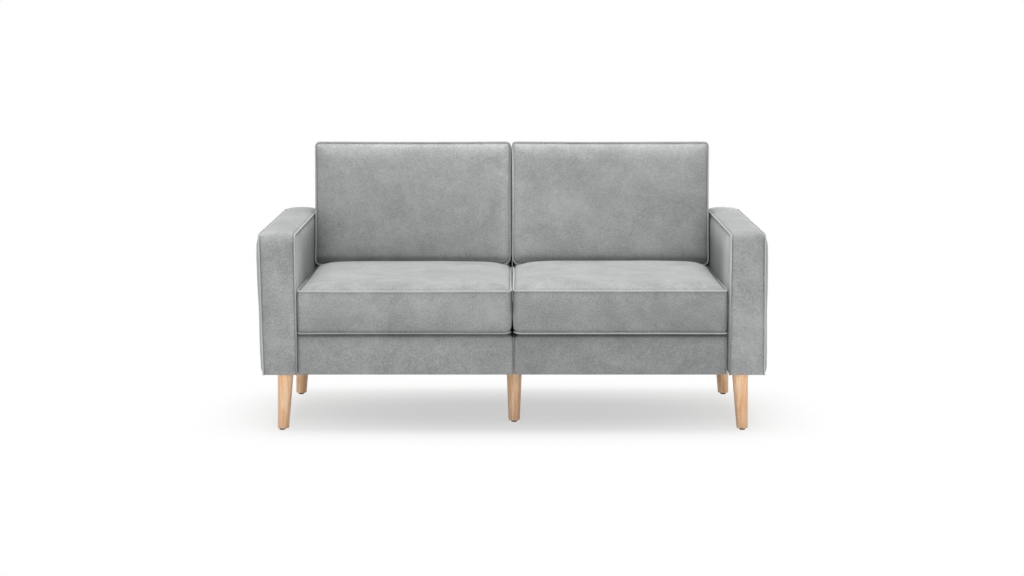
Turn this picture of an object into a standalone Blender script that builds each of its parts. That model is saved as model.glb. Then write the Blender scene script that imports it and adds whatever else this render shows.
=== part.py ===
"""Two-seat loveseat in short-pile velvet on turned wooden legs.

Metres, +Z up, +X to the right and -Y to the front of the seat. The origin is on the
floor, under the middle of the overall box. The sofa is a set of modules: two arms, two
seat bases and two backs, with four loose box cushions and six screw-in legs.
"""
import math

import bmesh
import bpy

# Overall sizes
WIDTH = 1.550
DEPTH = 0.844
UNDERSIDE = 0.1808

# Clearances
CLEARANCE = 0.0003
CUT_OVERRUN = 0.002

# Piping and the seam edge that it lies on
WELT_RADIUS = 0.0028
WELT_SIDES = 6
SEAM_CHAMFER = 0.003

# Upholstery wall: velvet with its wadding
COVER_WALL = 0.006

# Arms
ARM_SEAM_HEIGHT = 0.4272
ARM_BAND_WIDTH = 0.1025
ARM_OUTER_BULGE = 0.014
ARM_INNER_BULGE = 0.0026
ARM_TOP_CROWN = 0.010
ARM_END_CROWN = 0.003
ARM_CORNER_RADIUS = 0.018
ARM_CORNER_STEPS = 3
ARM_FOAM = 0.012
ARM_RAIL_HEIGHT = 0.040
ARM_POST_DEPTH = 0.045
ARM_TOP_SHARES = (-0.35, 0.35)
ARM_BAND_SHARES = ((-0.55, 0.72), (0.0, 1.0), (0.55, 0.72))
ARM_PANEL_SHARES = ((0.97, 0.45), (0.88, 0.85), (0.60, 1.0))

# Seat bases
MODULE_GAP = 0.0024
ARM_GAP = 0.0078
BASE_SETBACK = 0.004
BASE_HEIGHT = 0.1227
BASE_EDGE_RADIUS = 0.0055
EDGE_STEPS = 2
ROUND_PROFILE_SHARE = 0.5
SOFT_EDGE_ANGLE = math.radians(30)
RAIL_THICKNESS = 0.022
CORNER_BLOCK = 0.050
DECK_PAD = 0.018
DUST_CLOTH = 0.0012

# Seat springs
SPRINGS_PER_SEAT = 4
SPRING_WIRE = 0.0018
SPRING_HALF_WIDTH = 0.022
SPRING_BARS = 11
TIE_WIRE = 0.0012
TIE_AFTER_BAR = (3, 6)
SPRING_SIDES = 4

# Backs
BACK_SETBACK = 0.002
BACK_TOP = 0.760
BACK_FOOT_DEPTH = 0.0953
BACK_LEAN = math.radians(7.0)
BACK_EDGE_RADIUS = 0.0055
BACK_POST_WIDTH = 0.030
BACK_RAIL_HEIGHT = 0.045
BACK_FOAM = 0.010
WEBBING = 0.0016
WEBBING_WIDTH = 0.060
WEBBING_LEVEL_STRAPS = 4
WEBBING_UPRIGHT_STRAPS = 5

# Seat cushions
SEAT_SIDE_GAP = 0.0008
SEAT_HEIGHT = 0.130
SEAT_CROWN = 0.023
SEAT_REST = 0.0045
SEAT_CORNER = 0.018
SEAT_REAR_GAP = 0.002
SEAT_DIP = 0.016
SEAT_DIP_MARGIN = 0.004

# Back cushions
CUSHION_BACK_SIDE_GAP = 0.0022
CUSHION_BACK_SIDE_BULGE = 0.006
CUSHION_BACK_HEIGHT = 0.3975
CUSHION_BACK_THICKNESS = 0.1335
CUSHION_BACK_CROWN = 0.016
CUSHION_BACK_CORNER = 0.016

# What all cushions share
BOXING_BULGE = 0.003
DRAW_IN = 0.001
REST_INSET_SHARE = 0.8
CROWN_POWER = 0.35
STATION_SHARES = (0.07, 0.17, 0.32, 0.50, 0.68, 0.83, 0.93)
SEAT_FRONT_SHARES = (0.08, 0.18, 0.34, 0.52, 0.70, 0.86)
WELT_STATION_SHARES = (0.34, 0.66)
CORNER_STATION_SHARE = 1 - math.tan(math.pi / 8)

# Legs
LEG_TOP_RADIUS = 0.0246
LEG_FOOT_RADIUS = 0.0174
LEG_FOOT_CHAMFER = 0.0025
LEG_SPLAY = math.radians(3.0)
LEG_FROM_ARM_SEAM = 0.064
LEG_FROM_FRONT = 0.070
LEG_FROM_REAR = 0.160
CENTRE_LEG_SHIFT = 0.006
CENTRE_LEG_SETBACK = 0.128
LEG_SIDES = 16
GLIDE_RADIUS = 0.0093
GLIDE_HEIGHT = 0.005
GLIDE_EDGE = 0.0012
GLIDE_PIN_RADIUS = 0.0016
GLIDE_PIN = 0.014
GLIDE_SIDES = 10

# Leg fixings
BOLT_RADIUS = 0.004
BOLT_SIDES = 8
BOLT_IN_LEG = 0.034
BOLT_IN_FRAME = 0.022
PLATE = 0.003
PLATE_WIDTH = 0.100
PLATE_DEPTH = 0.080

# Places worked out from the sizes above
FRONT = -DEPTH / 2
REAR = DEPTH / 2
WELT_OFFSET = (WELT_RADIUS + CLEARANCE) / math.sqrt(2) - SEAM_CHAMFER / 2
WELT_REACH = WELT_OFFSET + WELT_RADIUS
ARM_OUTER = WIDTH / 2 - ARM_OUTER_BULGE
ARM_INNER = ARM_OUTER - ARM_BAND_WIDTH
ARM_TOP = UNDERSIDE + ARM_SEAM_HEIGHT
MODULE_INNER = MODULE_GAP / 2
MODULE_OUTER = ARM_INNER - ARM_GAP
BASE_FRONT = FRONT + BASE_SETBACK
BASE_TOP = UNDERSIDE + BASE_HEIGHT
BACK_REAR = REAR - BACK_SETBACK
BACK_WALL = COVER_WALL / math.cos(BACK_LEAN)
BACK_FRONT = BACK_REAR - BACK_FOOT_DEPTH
BASE_REAR = BACK_FRONT - CLEARANCE
FRAME_BOTTOM = UNDERSIDE + DUST_CLOTH + CLEARANCE
DECK_BOTTOM = BASE_TOP - COVER_WALL - CLEARANCE - DECK_PAD
RAIL_TOP = DECK_BOTTOM - CLEARANCE
SEAT_BOTTOM = BASE_TOP + CLEARANCE
SEAT_SEAM_TOP = SEAT_BOTTOM + WELT_REACH + SEAT_HEIGHT
SEAT_PLATEAU = SEAT_SEAM_TOP + SEAT_REST
CUSHION_BACK_BOTTOM = SEAT_PLATEAU + CLEARANCE + WELT_REACH
SIDES = (("left", -1), ("right", 1))


def back_face(height):
    """Y of the leaning front face of a back at a height above the floor."""
    return BACK_FRONT + max(height - BASE_TOP, 0.0) * math.tan(BACK_LEAN)


def clear_scene():
    for old in list(bpy.data.objects):
        bpy.data.objects.remove(old, do_unlink=True)


def material(name, colour, roughness, metallic=0.0):
    made = bpy.data.materials.new(name)
    made.use_nodes = True
    shader = made.node_tree.nodes["Principled BSDF"]
    shader.inputs["Base Color"].default_value = (*colour, 1.0)
    shader.inputs["Roughness"].default_value = roughness
    shader.inputs["Metallic"].default_value = metallic
    return made


def finish(name, form, look, origin=(0.0, 0.0, 0.0), parent=None):
    """Turn a bmesh in world places into a named object with its origin where it moves."""
    bmesh.ops.recalc_face_normals(form, faces=form.faces[:])
    base = parent.location if parent else (0.0, 0.0, 0.0)
    bmesh.ops.translate(form, verts=form.verts[:], vec=[-value for value in origin])
    mesh = bpy.data.meshes.new(name)
    form.to_mesh(mesh)
    form.free()
    piece = bpy.data.objects.new(name, mesh)
    piece.location = [value - start for value, start in zip(origin, base)]
    piece.parent = parent
    mesh.materials.append(look(name))
    bpy.context.scene.collection.objects.link(piece)
    return piece


def cutter(name, form):
    """A shape that other pieces are cut with; it is not part of the sofa."""
    bmesh.ops.recalc_face_normals(form, faces=form.faces[:])
    mesh = bpy.data.meshes.new(name)
    form.to_mesh(mesh)
    form.free()
    shape = bpy.data.objects.new(name, mesh)
    shape.hide_render = True
    shape.display_type = "WIRE"
    bpy.context.scene.collection.objects.link(shape)
    return shape


def cut(piece, shape):
    modifier = piece.modifiers.new("cut_" + shape.name, "BOOLEAN")
    modifier.operation = "DIFFERENCE"
    modifier.solver = "EXACT"
    modifier.object = shape


def join(piece, shape):
    modifier = piece.modifiers.new("join_" + shape.name, "BOOLEAN")
    modifier.operation = "UNION"
    modifier.solver = "EXACT"
    modifier.object = shape


def box(form, low, high):
    """A block between two corners; x may be given in either order."""
    x0, x1 = sorted((low[0], high[0]))
    corners = [form.verts.new((x, y, z)) for z in (low[2], high[2])
               for y in (low[1], high[1]) for x in (x0, x1)]
    for face in ((0, 1, 3, 2), (4, 6, 7, 5), (0, 4, 5, 1), (2, 3, 7, 6), (0, 2, 6, 4), (1, 5, 7, 3)):
        form.faces.new([corners[index] for index in face])


def extruded(form, ends):
    """Two matching outlines, closed and joined by side faces."""
    form.faces.new(ends[0])
    form.faces.new(ends[1])
    for index in range(len(ends[0])):
        after = (index + 1) % len(ends[0])
        form.faces.new((ends[0][index], ends[0][after], ends[1][after], ends[1][index]))


def column(form, outline, z0, z1):
    """A flat outline of (x, y) points, run along Z."""
    extruded(form, [[form.verts.new((x, y, z)) for x, y in outline] for z in (z0, z1)])


def prism(form, outline, x0, x1):
    """A flat outline of (y, z) points, run along X."""
    extruded(form, [[form.verts.new((x, y, z)) for y, z in outline] for x in (x0, x1)])


def turned(form, centre, profile, sides, slope=0.0):
    """A turned shape from (radius, z) points, each slice moved sideways by its height."""
    rings = []
    for radius, z in profile:
        x = centre[0] + (centre[2] - z) * slope
        if radius == 0:
            rings.append([form.verts.new((x, centre[1], z))])
            continue
        turn = [2 * math.pi * step / sides for step in range(sides)]
        rings.append([form.verts.new((x + radius * math.cos(angle),
                                      centre[1] + radius * math.sin(angle), z)) for angle in turn])
    for low, high in zip(rings, rings[1:]):
        for step in range(sides):
            after = (step + 1) % sides
            if len(low) == 1:
                form.faces.new((low[0], high[step], high[after]))
            elif len(high) == 1:
                form.faces.new((low[step], low[after], high[0]))
            else:
                form.faces.new((low[step], low[after], high[after], high[step]))


def tube(form, path, sides, closed):
    """Rings round a path of (point, side axis, rise axis, radius) joined into a tube."""
    rings = []
    for point, side_axis, rise_axis, radius in path:
        ring = []
        for step in range(sides):
            angle = 2 * math.pi * (step + 1 / 2) / sides
            ring.append(form.verts.new([place + radius * (math.cos(angle) * a + math.sin(angle) * b)
                                        for place, a, b in zip(point, side_axis, rise_axis)]))
        rings.append(ring)
    pairs = list(zip(rings, rings[1:]))
    if closed:
        pairs.append((rings[-1], rings[0]))
    else:
        form.faces.new(rings[0])
        form.faces.new(rings[-1])
    for low, high in pairs:
        for step in range(sides):
            after = (step + 1) % sides
            form.faces.new((low[step], low[after], high[after], high[step]))


# Finishes

def velvet(name):
    return material(name + "_velvet", (0.34, 0.35, 0.35), 0.85)


def welt_velvet(name):
    return material(name + "_welt_velvet", (0.38, 0.39, 0.39), 0.8)


def beech(name):
    return material(name + "_beech", (0.69, 0.46, 0.29), 0.45)


def pine(name):
    return material(name + "_pine", (0.62, 0.46, 0.28), 0.7)


def foam(name):
    return material(name + "_foam", (0.82, 0.80, 0.70), 0.95)


def zinc_steel(name):
    return material(name + "_zinc_steel", (0.60, 0.61, 0.62), 0.38, 1.0)


def dust_cloth(name):
    return material(name + "_dust_cloth", (0.012, 0.012, 0.013), 0.95)


def webbing_cloth(name):
    return material(name + "_webbing", (0.10, 0.09, 0.08), 0.9)


def glide_plastic(name):
    return material(name + "_plastic", (0.028, 0.028, 0.030), 0.5)


# Cushions

def stations(length, radius, inner):
    """Places along one side of a cushion, closer together in the rounded corners."""
    corner = [0.0, radius * CORNER_STATION_SHARE, radius]
    return corner + inner + [length - value for value in reversed(corner)]


def shares_between(length, radius, shares):
    return [radius + (length - 2 * radius) * share for share in shares]


def outline_point(u, v, width, length, radius):
    """A point of the rounded outline and its outward direction."""
    cu = min(max(u, radius), width - radius)
    cv = min(max(v, radius), length - radius)
    reach = math.hypot(u - cu, v - cv)
    normal = ((u - cu) / reach, (v - cv) / reach)
    return (cu + normal[0] * radius, cv + normal[1] * radius), normal


def drawn_in(u, v, width, length):
    """The sides of a stuffed cushion pull in between its corners."""
    along_u = math.sin(math.pi * min(max(u / width, 0), 1))
    along_v = math.sin(math.pi * min(max(v / length, 0), 1))
    return (width / 2 + (u - width / 2) * (1 - 2 * DRAW_IN / width * along_v),
            length / 2 + (v - length / 2) * (1 - 2 * DRAW_IN / length * along_u))


def edge_walk(across, along):
    """Grid places once round the outline, from the first corner."""
    last_u = len(across) - 1
    last_v = len(along) - 1
    walk = [(i, 0) for i in range(last_u)]
    walk += [(last_u, j) for j in range(last_v)]
    walk += [(i, last_v) for i in range(last_u, 0, -1)]
    walk += [(0, j) for j in range(last_v, 0, -1)]
    return walk


def bump(share):
    return (4 * share * (1 - share)) ** CROWN_POWER


def cushion(form, width, length, height, radius, across, along, side_bulge, crown, place):
    """A stuffed box cushion: flat where it rests, bulged boxing, chamfered seams, crown."""
    walk = edge_walk(across, along)
    top = WELT_REACH + height
    levels = ((-radius * REST_INSET_SHARE, 0.0), (-SEAM_CHAMFER, WELT_REACH),
              (0.0, WELT_REACH + SEAM_CHAMFER), (BOXING_BULGE, WELT_REACH + height / 2),
              (0.0, top - SEAM_CHAMFER), (-SEAM_CHAMFER, top))
    rings = []
    for offset, level in levels:
        side_offset = side_bulge if offset == BOXING_BULGE else offset
        ring = []
        for i, j in walk:
            (u, v), normal = outline_point(across[i], along[j], width, length, radius)
            u, v = drawn_in(u + normal[0] * side_offset, v + normal[1] * offset, width, length)
            ring.append(form.verts.new(place(u, v, level)))
        rings.append(ring)
    form.faces.new(rings[0])
    for low, high in zip(rings, rings[1:]):
        for step in range(len(walk)):
            after = (step + 1) % len(walk)
            form.faces.new((low[step], low[after], high[after], high[step]))
    grid = dict(zip(walk, rings[-1]))
    for i in range(1, len(across) - 1):
        for j in range(1, len(along) - 1):
            u, v = drawn_in(across[i], along[j], width, length)
            grid[(i, j)] = form.verts.new(place(u, v, top + crown(across[i], along[j])))
    for i in range(len(across) - 1):
        for j in range(len(along) - 1):
            form.faces.new((grid[(i, j)], grid[(i + 1, j)], grid[(i + 1, j + 1)], grid[(i, j + 1)]))


def cushion_welt(name, pad, width, length, radius, level, place):
    """One ring of piping round a seam of a cushion, moving with it."""
    across = stations(width, radius, shares_between(width, radius, WELT_STATION_SHARES))
    along = stations(length, radius, shares_between(length, radius, WELT_STATION_SHARES))
    path = []
    for i, j in edge_walk(across, along):
        (u, v), normal = outline_point(across[i], along[j], width, length, radius)
        u, v = drawn_in(u + normal[0] * WELT_OFFSET, v + normal[1] * WELT_OFFSET, width, length)
        point = place(u, v, level)
        out = [a - b for a, b in zip(place(u + normal[0], v + normal[1], level), point)]
        rise = [a - b for a, b in zip(place(u, v, level + 1), point)]
        path.append((point, out, rise, WELT_RADIUS))
    form = bmesh.new()
    tube(form, path, WELT_SIDES, True)
    finish(name, form, welt_velvet, pad.location, pad)


def seat_sizes():
    width = MODULE_OUTER - MODULE_INNER - SEAT_SIDE_GAP - 2 * WELT_REACH
    rear = back_face(SEAT_BOTTOM) - SEAT_REAR_GAP - WELT_REACH
    front = BASE_FRONT + WELT_REACH
    return width, rear - front, front


def seat_cushion(side, sign):
    width, length, front = seat_sizes()
    inner = MODULE_INNER + SEAT_SIDE_GAP + WELT_REACH
    press = back_face(CUSHION_BACK_BOTTOM) - CLEARANCE - CUSHION_BACK_THICKNESS - 2 * WELT_REACH
    dip_end = press - SEAT_DIP_MARGIN - front
    dip_start = dip_end - SEAT_DIP
    open_part = [SEAT_CORNER + (dip_start - SEAT_CORNER) * share for share in SEAT_FRONT_SHARES]
    rest_middle = (dip_end + length - SEAT_CORNER) / 2
    across = stations(width, SEAT_CORNER, shares_between(width, SEAT_CORNER, STATION_SHARES))
    along = stations(length, SEAT_CORNER, open_part + [dip_start, dip_end, rest_middle])

    def place(u, v, level):
        return (sign * (inner + u), front + v, SEAT_BOTTOM + level)

    def crown(u, v):
        full = SEAT_CROWN * bump(u / width) * bump(v / length)
        return full if v <= dip_start else min(full, SEAT_REST)

    origin = (sign * (inner + width / 2), front + length / 2, SEAT_BOTTOM)
    form = bmesh.new()
    cushion(form, width, length, SEAT_HEIGHT, SEAT_CORNER, across, along, BOXING_BULGE, crown, place)
    pad = finish("seat_cushion_" + side, form, velvet, origin)
    for end, level in (("bottom", WELT_REACH - WELT_OFFSET), ("top", WELT_REACH + SEAT_HEIGHT + WELT_OFFSET)):
        cushion_welt("seat_piping_" + end + "_" + side, pad, width, length, SEAT_CORNER, level, place)


def back_cushion(side, sign):
    inner = MODULE_INNER + CUSHION_BACK_SIDE_GAP + WELT_REACH
    width = MODULE_OUTER - inner - WELT_REACH
    height = CUSHION_BACK_HEIGHT
    radius = CUSHION_BACK_CORNER
    across = stations(width, radius, shares_between(width, radius, STATION_SHARES))
    along = stations(height, radius, shares_between(height, radius, STATION_SHARES))

    depth = CUSHION_BACK_THICKNESS + 2 * WELT_REACH

    def place(u, v, level):
        """The bottom is level, as it settles on the seat; the top is square to the lean."""
        z = CUSHION_BACK_BOTTOM + v * (1 - (depth - level) * math.tan(BACK_LEAN) / height)
        return (sign * (inner + u), back_face(z) - CLEARANCE - level, z)

    def crown(u, v):
        return CUSHION_BACK_CROWN * bump(u / width) * bump(v / height)

    origin = place(width / 2, 0.0, CUSHION_BACK_THICKNESS / 2)
    form = bmesh.new()
    cushion(form, width, height, CUSHION_BACK_THICKNESS, radius, across, along,
            CUSHION_BACK_SIDE_BULGE, crown, place)
    pad = finish("back_cushion_" + side, form, velvet, origin)
    front_seam = WELT_REACH + CUSHION_BACK_THICKNESS + WELT_OFFSET
    for end, level in (("rear", WELT_REACH - WELT_OFFSET), ("front", front_seam)):
        cushion_welt("back_piping_" + end + "_" + side, pad, width, height, radius, level, place)


# Arms

def arm_stations():
    """Side outline of an arm, front foot to rear foot, with each point's outward direction."""
    radius = ARM_CORNER_RADIUS
    reach = REAR - radius
    middle = (UNDERSIDE + ARM_TOP - radius) / 2
    points = [((FRONT, UNDERSIDE), (-1.0, 0.0)), ((FRONT, middle), (-1.0, 0.0))]
    for end, start in ((-reach, math.pi), (reach, math.pi / 2)):
        for step in range(ARM_CORNER_STEPS + 1):
            angle = start - math.pi / 2 * step / ARM_CORNER_STEPS
            normal = (math.cos(angle), math.sin(angle))
            points.append(((end + radius * normal[0], ARM_TOP - radius + radius * normal[1]), normal))
        if end < 0:
            points += [((reach * share, ARM_TOP), (0.0, 1.0)) for share in ARM_TOP_SHARES]
    return points + [((REAR, middle), (1.0, 0.0)), ((REAR, UNDERSIDE), (1.0, 0.0))]


def arm_rows():
    """Cross sections of the arm cover, from the inner panel over the band to the outer one."""
    half = ARM_BAND_WIDTH / 2
    rows = []
    for (y, z), (ny, nz) in arm_stations():
        crown = ARM_END_CROWN + (ARM_TOP_CROWN - ARM_END_CROWN) * max(nz, 0)
        edge_y = y - ny * SEAM_CHAMFER
        edge_rise = z - nz * SEAM_CHAMFER - UNDERSIDE
        row = []
        for reach_share, lift_share in reversed(ARM_PANEL_SHARES):
            row.append((ARM_INNER - ARM_INNER_BULGE * lift_share, edge_y * reach_share,
                        UNDERSIDE + edge_rise * reach_share))
        row.append((ARM_INNER, edge_y, UNDERSIDE + edge_rise))
        row.append((ARM_INNER + SEAM_CHAMFER, y, z))
        for place_share, lift_share in ARM_BAND_SHARES:
            rise = crown * lift_share
            row.append((ARM_INNER + half + half * place_share, y + ny * rise, z + nz * rise))
        row.append((ARM_OUTER - SEAM_CHAMFER, y, z))
        row.append((ARM_OUTER, edge_y, UNDERSIDE + edge_rise))
        for reach_share, lift_share in ARM_PANEL_SHARES:
            row.append((ARM_OUTER + ARM_OUTER_BULGE * lift_share, edge_y * reach_share,
                        UNDERSIDE + edge_rise * reach_share))
        rows.append(row)
    return rows


def arm_arch(inset, foot):
    """Arch inside the arm cover, from front foot to rear foot, a given way in from its wall."""
    reach = REAR - COVER_WALL - inset
    top = ARM_TOP - COVER_WALL - inset
    corner = ARM_CORNER_RADIUS - (2 - math.sqrt(2)) * inset
    return [(-reach, foot), (-reach, top - corner), (-reach + corner, top),
            (reach - corner, top), (reach, top - corner), (reach, foot)]


def arm_width(inset):
    """X of the two side walls inside the arm cover, a given way in from them."""
    return ARM_INNER + COVER_WALL + inset, ARM_OUTER - COVER_WALL - inset


def arm_cover(side, sign):
    form = bmesh.new()
    rows = [[form.verts.new((sign * x, y, z)) for x, y, z in row] for row in arm_rows()]
    for low, high in zip(rows, rows[1:]):
        for step in range(len(low) - 1):
            form.faces.new((low[step], high[step], high[step + 1], low[step + 1]))
    form.faces.new([row[0] for row in rows])
    form.faces.new([row[-1] for row in rows])
    form.faces.new(rows[0] + rows[-1][::-1])
    cover = finish("arm_cover_" + side, form, velvet)
    form = bmesh.new()
    inner, outer = arm_width(0.0)
    prism(form, arm_arch(0.0, UNDERSIDE - CUT_OVERRUN), sign * inner, sign * outer)
    cut(cover, cutter("arm_hollow_" + side, form))


def arm_piping(side, sign):
    for seam_name, seam, way in (("inner", ARM_INNER, -1), ("outer", ARM_OUTER, 1)):
        path = []
        for (y, z), (ny, nz) in arm_stations():
            point = (sign * (seam + way * WELT_OFFSET), y + ny * WELT_OFFSET, z + nz * WELT_OFFSET)
            path.append((point, (sign * way, 0.0, 0.0), (0.0, ny, nz), WELT_RADIUS))
        form = bmesh.new()
        tube(form, path, WELT_SIDES, False)
        finish("arm_piping_" + seam_name + "_" + side, form, welt_velvet)


def arm_inside(side, sign):
    """A cap of foam over a frame of two rails and two posts."""
    inner, outer = arm_width(CLEARANCE)
    form = bmesh.new()
    prism(form, arm_arch(CLEARANCE, UNDERSIDE), sign * inner, sign * outer)
    cap = finish("arm_foam_" + side, form, foam)
    inner, outer = arm_width(CLEARANCE + ARM_FOAM)
    form = bmesh.new()
    prism(form, arm_arch(CLEARANCE + ARM_FOAM, UNDERSIDE - CUT_OVERRUN), sign * inner, sign * outer)
    cut(cap, cutter("arm_foam_hollow_" + side, form))

    inset = ARM_FOAM + 2 * CLEARANCE
    inner, outer = arm_width(inset)
    arch = arm_arch(inset, UNDERSIDE)
    form = bmesh.new()
    prism(form, arch, sign * inner, sign * outer)
    frame = finish("arm_frame_" + side, form, pine)
    reach = arch[-1][0] - ARM_POST_DEPTH
    top = arch[2][1] - ARM_RAIL_HEIGHT
    form = bmesh.new()
    box(form, (sign * (inner - CUT_OVERRUN), -reach, UNDERSIDE + ARM_RAIL_HEIGHT),
        (sign * (outer + CUT_OVERRUN), reach, top))
    cut(frame, cutter("arm_window_" + side, form))
    return frame


# Seat bases

def soften(form, radius):
    """Round the real edges of a block, but not a slight bend in one of its faces."""
    edges = [edge for edge in form.edges if edge.calc_face_angle(0.0) > SOFT_EDGE_ANGLE]
    bmesh.ops.bevel(form, geom=edges, offset=radius, offset_type="OFFSET", segments=EDGE_STEPS,
                    profile=ROUND_PROFILE_SHARE, affect="EDGES", clamp_overlap=True)


def base_block(form, sign, inset, low, high):
    """A block inside a seat base cover, a given way in from its four walls."""
    wall = COVER_WALL + inset
    box(form, (sign * (MODULE_INNER + wall), BASE_FRONT + wall, low),
        (sign * (MODULE_OUTER - wall), BASE_REAR - wall, high))


def seat_base_cover(side, sign):
    form = bmesh.new()
    box(form, (sign * MODULE_INNER, BASE_FRONT, UNDERSIDE), (sign * MODULE_OUTER, BASE_REAR, BASE_TOP))
    bmesh.ops.recalc_face_normals(form, faces=form.faces[:])
    soften(form, BASE_EDGE_RADIUS)
    cover = finish("seat_base_cover_" + side, form, velvet)
    form = bmesh.new()
    base_block(form, sign, 0.0, UNDERSIDE - CUT_OVERRUN, BASE_TOP - COVER_WALL)
    cut(cover, cutter("base_hollow_" + side, form))


def seat_frame(side, sign):
    """Four rails with corner blocks, rebated along the top for the springs."""
    form = bmesh.new()
    base_block(form, sign, CLEARANCE, FRAME_BOTTOM, RAIL_TOP)
    frame = finish("seat_frame_" + side, form, pine)
    inset = COVER_WALL + CLEARANCE + RAIL_THICKNESS
    x0, x1 = MODULE_INNER + inset, MODULE_OUTER - inset
    y0, y1 = BASE_FRONT + inset, BASE_REAR - inset
    outline = [(x0 + CORNER_BLOCK, y0), (x1 - CORNER_BLOCK, y0), (x1, y0 + CORNER_BLOCK),
               (x1, y1 - CORNER_BLOCK), (x1 - CORNER_BLOCK, y1), (x0 + CORNER_BLOCK, y1),
               (x0, y1 - CORNER_BLOCK), (x0, y0 + CORNER_BLOCK)]
    form = bmesh.new()
    column(form, [(sign * x, y) for x, y in outline], FRAME_BOTTOM - CUT_OVERRUN, RAIL_TOP + CUT_OVERRUN)
    cut(frame, cutter("seat_window_" + side, form))
    form = bmesh.new()
    _, first, last = spring_places()
    hold = SPRING_WIRE + CLEARANCE
    box(form, (sign * x0, first - hold, RAIL_TOP - SPRING_WIRE - hold),
        (sign * x1, last + hold, RAIL_TOP + CUT_OVERRUN))
    cut(frame, cutter("spring_rebate_" + side, form))


def spring_places():
    """X of each spring of a seat, and the Y of its first and last bar on the rails."""
    wall = COVER_WALL + CLEARANCE
    step = (MODULE_OUTER - MODULE_INNER - 2 * wall) / SPRINGS_PER_SEAT
    hold = wall + RAIL_THICKNESS / 2
    return ([MODULE_INNER + wall + step * (index + 1 / 2) for index in range(SPRINGS_PER_SEAT)],
            BASE_FRONT + hold, BASE_REAR - hold)


def spring_line(middle, first, last, sign):
    """Corner points of a sinuous spring: bars across the seat, joined by short runs along it."""
    line = []
    for index in range(SPRING_BARS):
        y = first + (last - first) * index / (SPRING_BARS - 1)
        way = 1 if index % 2 == 0 else -1
        line += [(sign * middle - way * SPRING_HALF_WIDTH, y), (sign * middle + way * SPRING_HALF_WIDTH, y)]
    return line


def mitred(line, z, radius):
    """A tube path through the corner points of a line, kept full at each square corner."""
    path = []
    for index, (x, y) in enumerate(line):
        turns = []
        for (ax, ay), (bx, by) in zip(line[max(index - 1, 0):index + 1], line[max(index, 1):index + 2]):
            run = math.hypot(bx - ax, by - ay)
            turns.append(((bx - ax) / run, (by - ay) / run))
        along_x, along_y = (sum(values) for values in zip(*turns))
        stretch = len(turns) / (along_x ** 2 + along_y ** 2)
        path.append(((x, y, z), (-along_y * stretch, along_x * stretch, 0.0), (0.0, 0.0, 1.0), radius))
    return path


def seat_springs(side, sign):
    """Sinuous springs with tie wires clipped across them."""
    places, first, last = spring_places()
    z = RAIL_TOP - SPRING_WIRE
    form = bmesh.new()
    for middle in places:
        tube(form, mitred(spring_line(middle, first, last, sign), z, SPRING_WIRE), SPRING_SIDES, False)
    springs = finish("seat_springs_" + side, form, zinc_steel)
    reach = COVER_WALL + 2 * CLEARANCE + RAIL_THICKNESS
    form = bmesh.new()
    for bar in TIE_AFTER_BAR:
        y = first + (last - first) * (bar + 1 / 2) / (SPRING_BARS - 1)
        line = [(sign * (MODULE_INNER + reach), y), (sign * (MODULE_OUTER - reach), y)]
        tube(form, mitred(line, z, TIE_WIRE), SPRING_SIDES, False)
    join(springs, cutter("tie_wires_" + side, form))


def seat_deck_pad(side, sign):
    form = bmesh.new()
    base_block(form, sign, CLEARANCE, DECK_BOTTOM, DECK_BOTTOM + DECK_PAD)
    finish("seat_deck_pad_" + side, form, foam)


def seat_dust_cover(side, sign):
    form = bmesh.new()
    base_block(form, sign, CLEARANCE, UNDERSIDE, UNDERSIDE + DUST_CLOTH)
    finish("seat_dust_cover_" + side, form, dust_cloth)


# Backs

def back_section(front_inset, rear_inset, top, bottom):
    """Side outline of a back: upright behind the seat base, leaning above it."""
    return [(BACK_FRONT + front_inset, bottom), (BACK_FRONT + front_inset, BASE_TOP),
            (back_face(top) + front_inset, top), (BACK_REAR - rear_inset, top),
            (BACK_REAR - rear_inset, bottom)]


def leaning_slab(near, far, low, high):
    """Side outline of a sheet that lies along the leaning face, between two heights."""
    return [(back_face(low) + near, low), (back_face(low) + far, low),
            (back_face(high) + far, high), (back_face(high) + near, high)]


def back_cover(side, sign):
    form = bmesh.new()
    prism(form, back_section(0.0, 0.0, BACK_TOP, UNDERSIDE), sign * MODULE_INNER, sign * MODULE_OUTER)
    bmesh.ops.recalc_face_normals(form, faces=form.faces[:])
    soften(form, BACK_EDGE_RADIUS)
    cover = finish("back_cover_" + side, form, velvet)
    form = bmesh.new()
    prism(form, back_section(BACK_WALL, COVER_WALL, BACK_TOP - COVER_WALL, UNDERSIDE - CUT_OVERRUN),
          sign * (MODULE_INNER + COVER_WALL), sign * (MODULE_OUTER - COVER_WALL))
    cut(cover, cutter("back_hollow_" + side, form))


def between_straps(low, high, straps):
    """The gaps between evenly spread straps, the first and last of them at the two ends."""
    pitch = (high - low - WEBBING_WIDTH) / (straps - 1)
    return [(low + WEBBING_WIDTH + pitch * index, low + pitch * (index + 1)) for index in range(straps - 1)]


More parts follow.
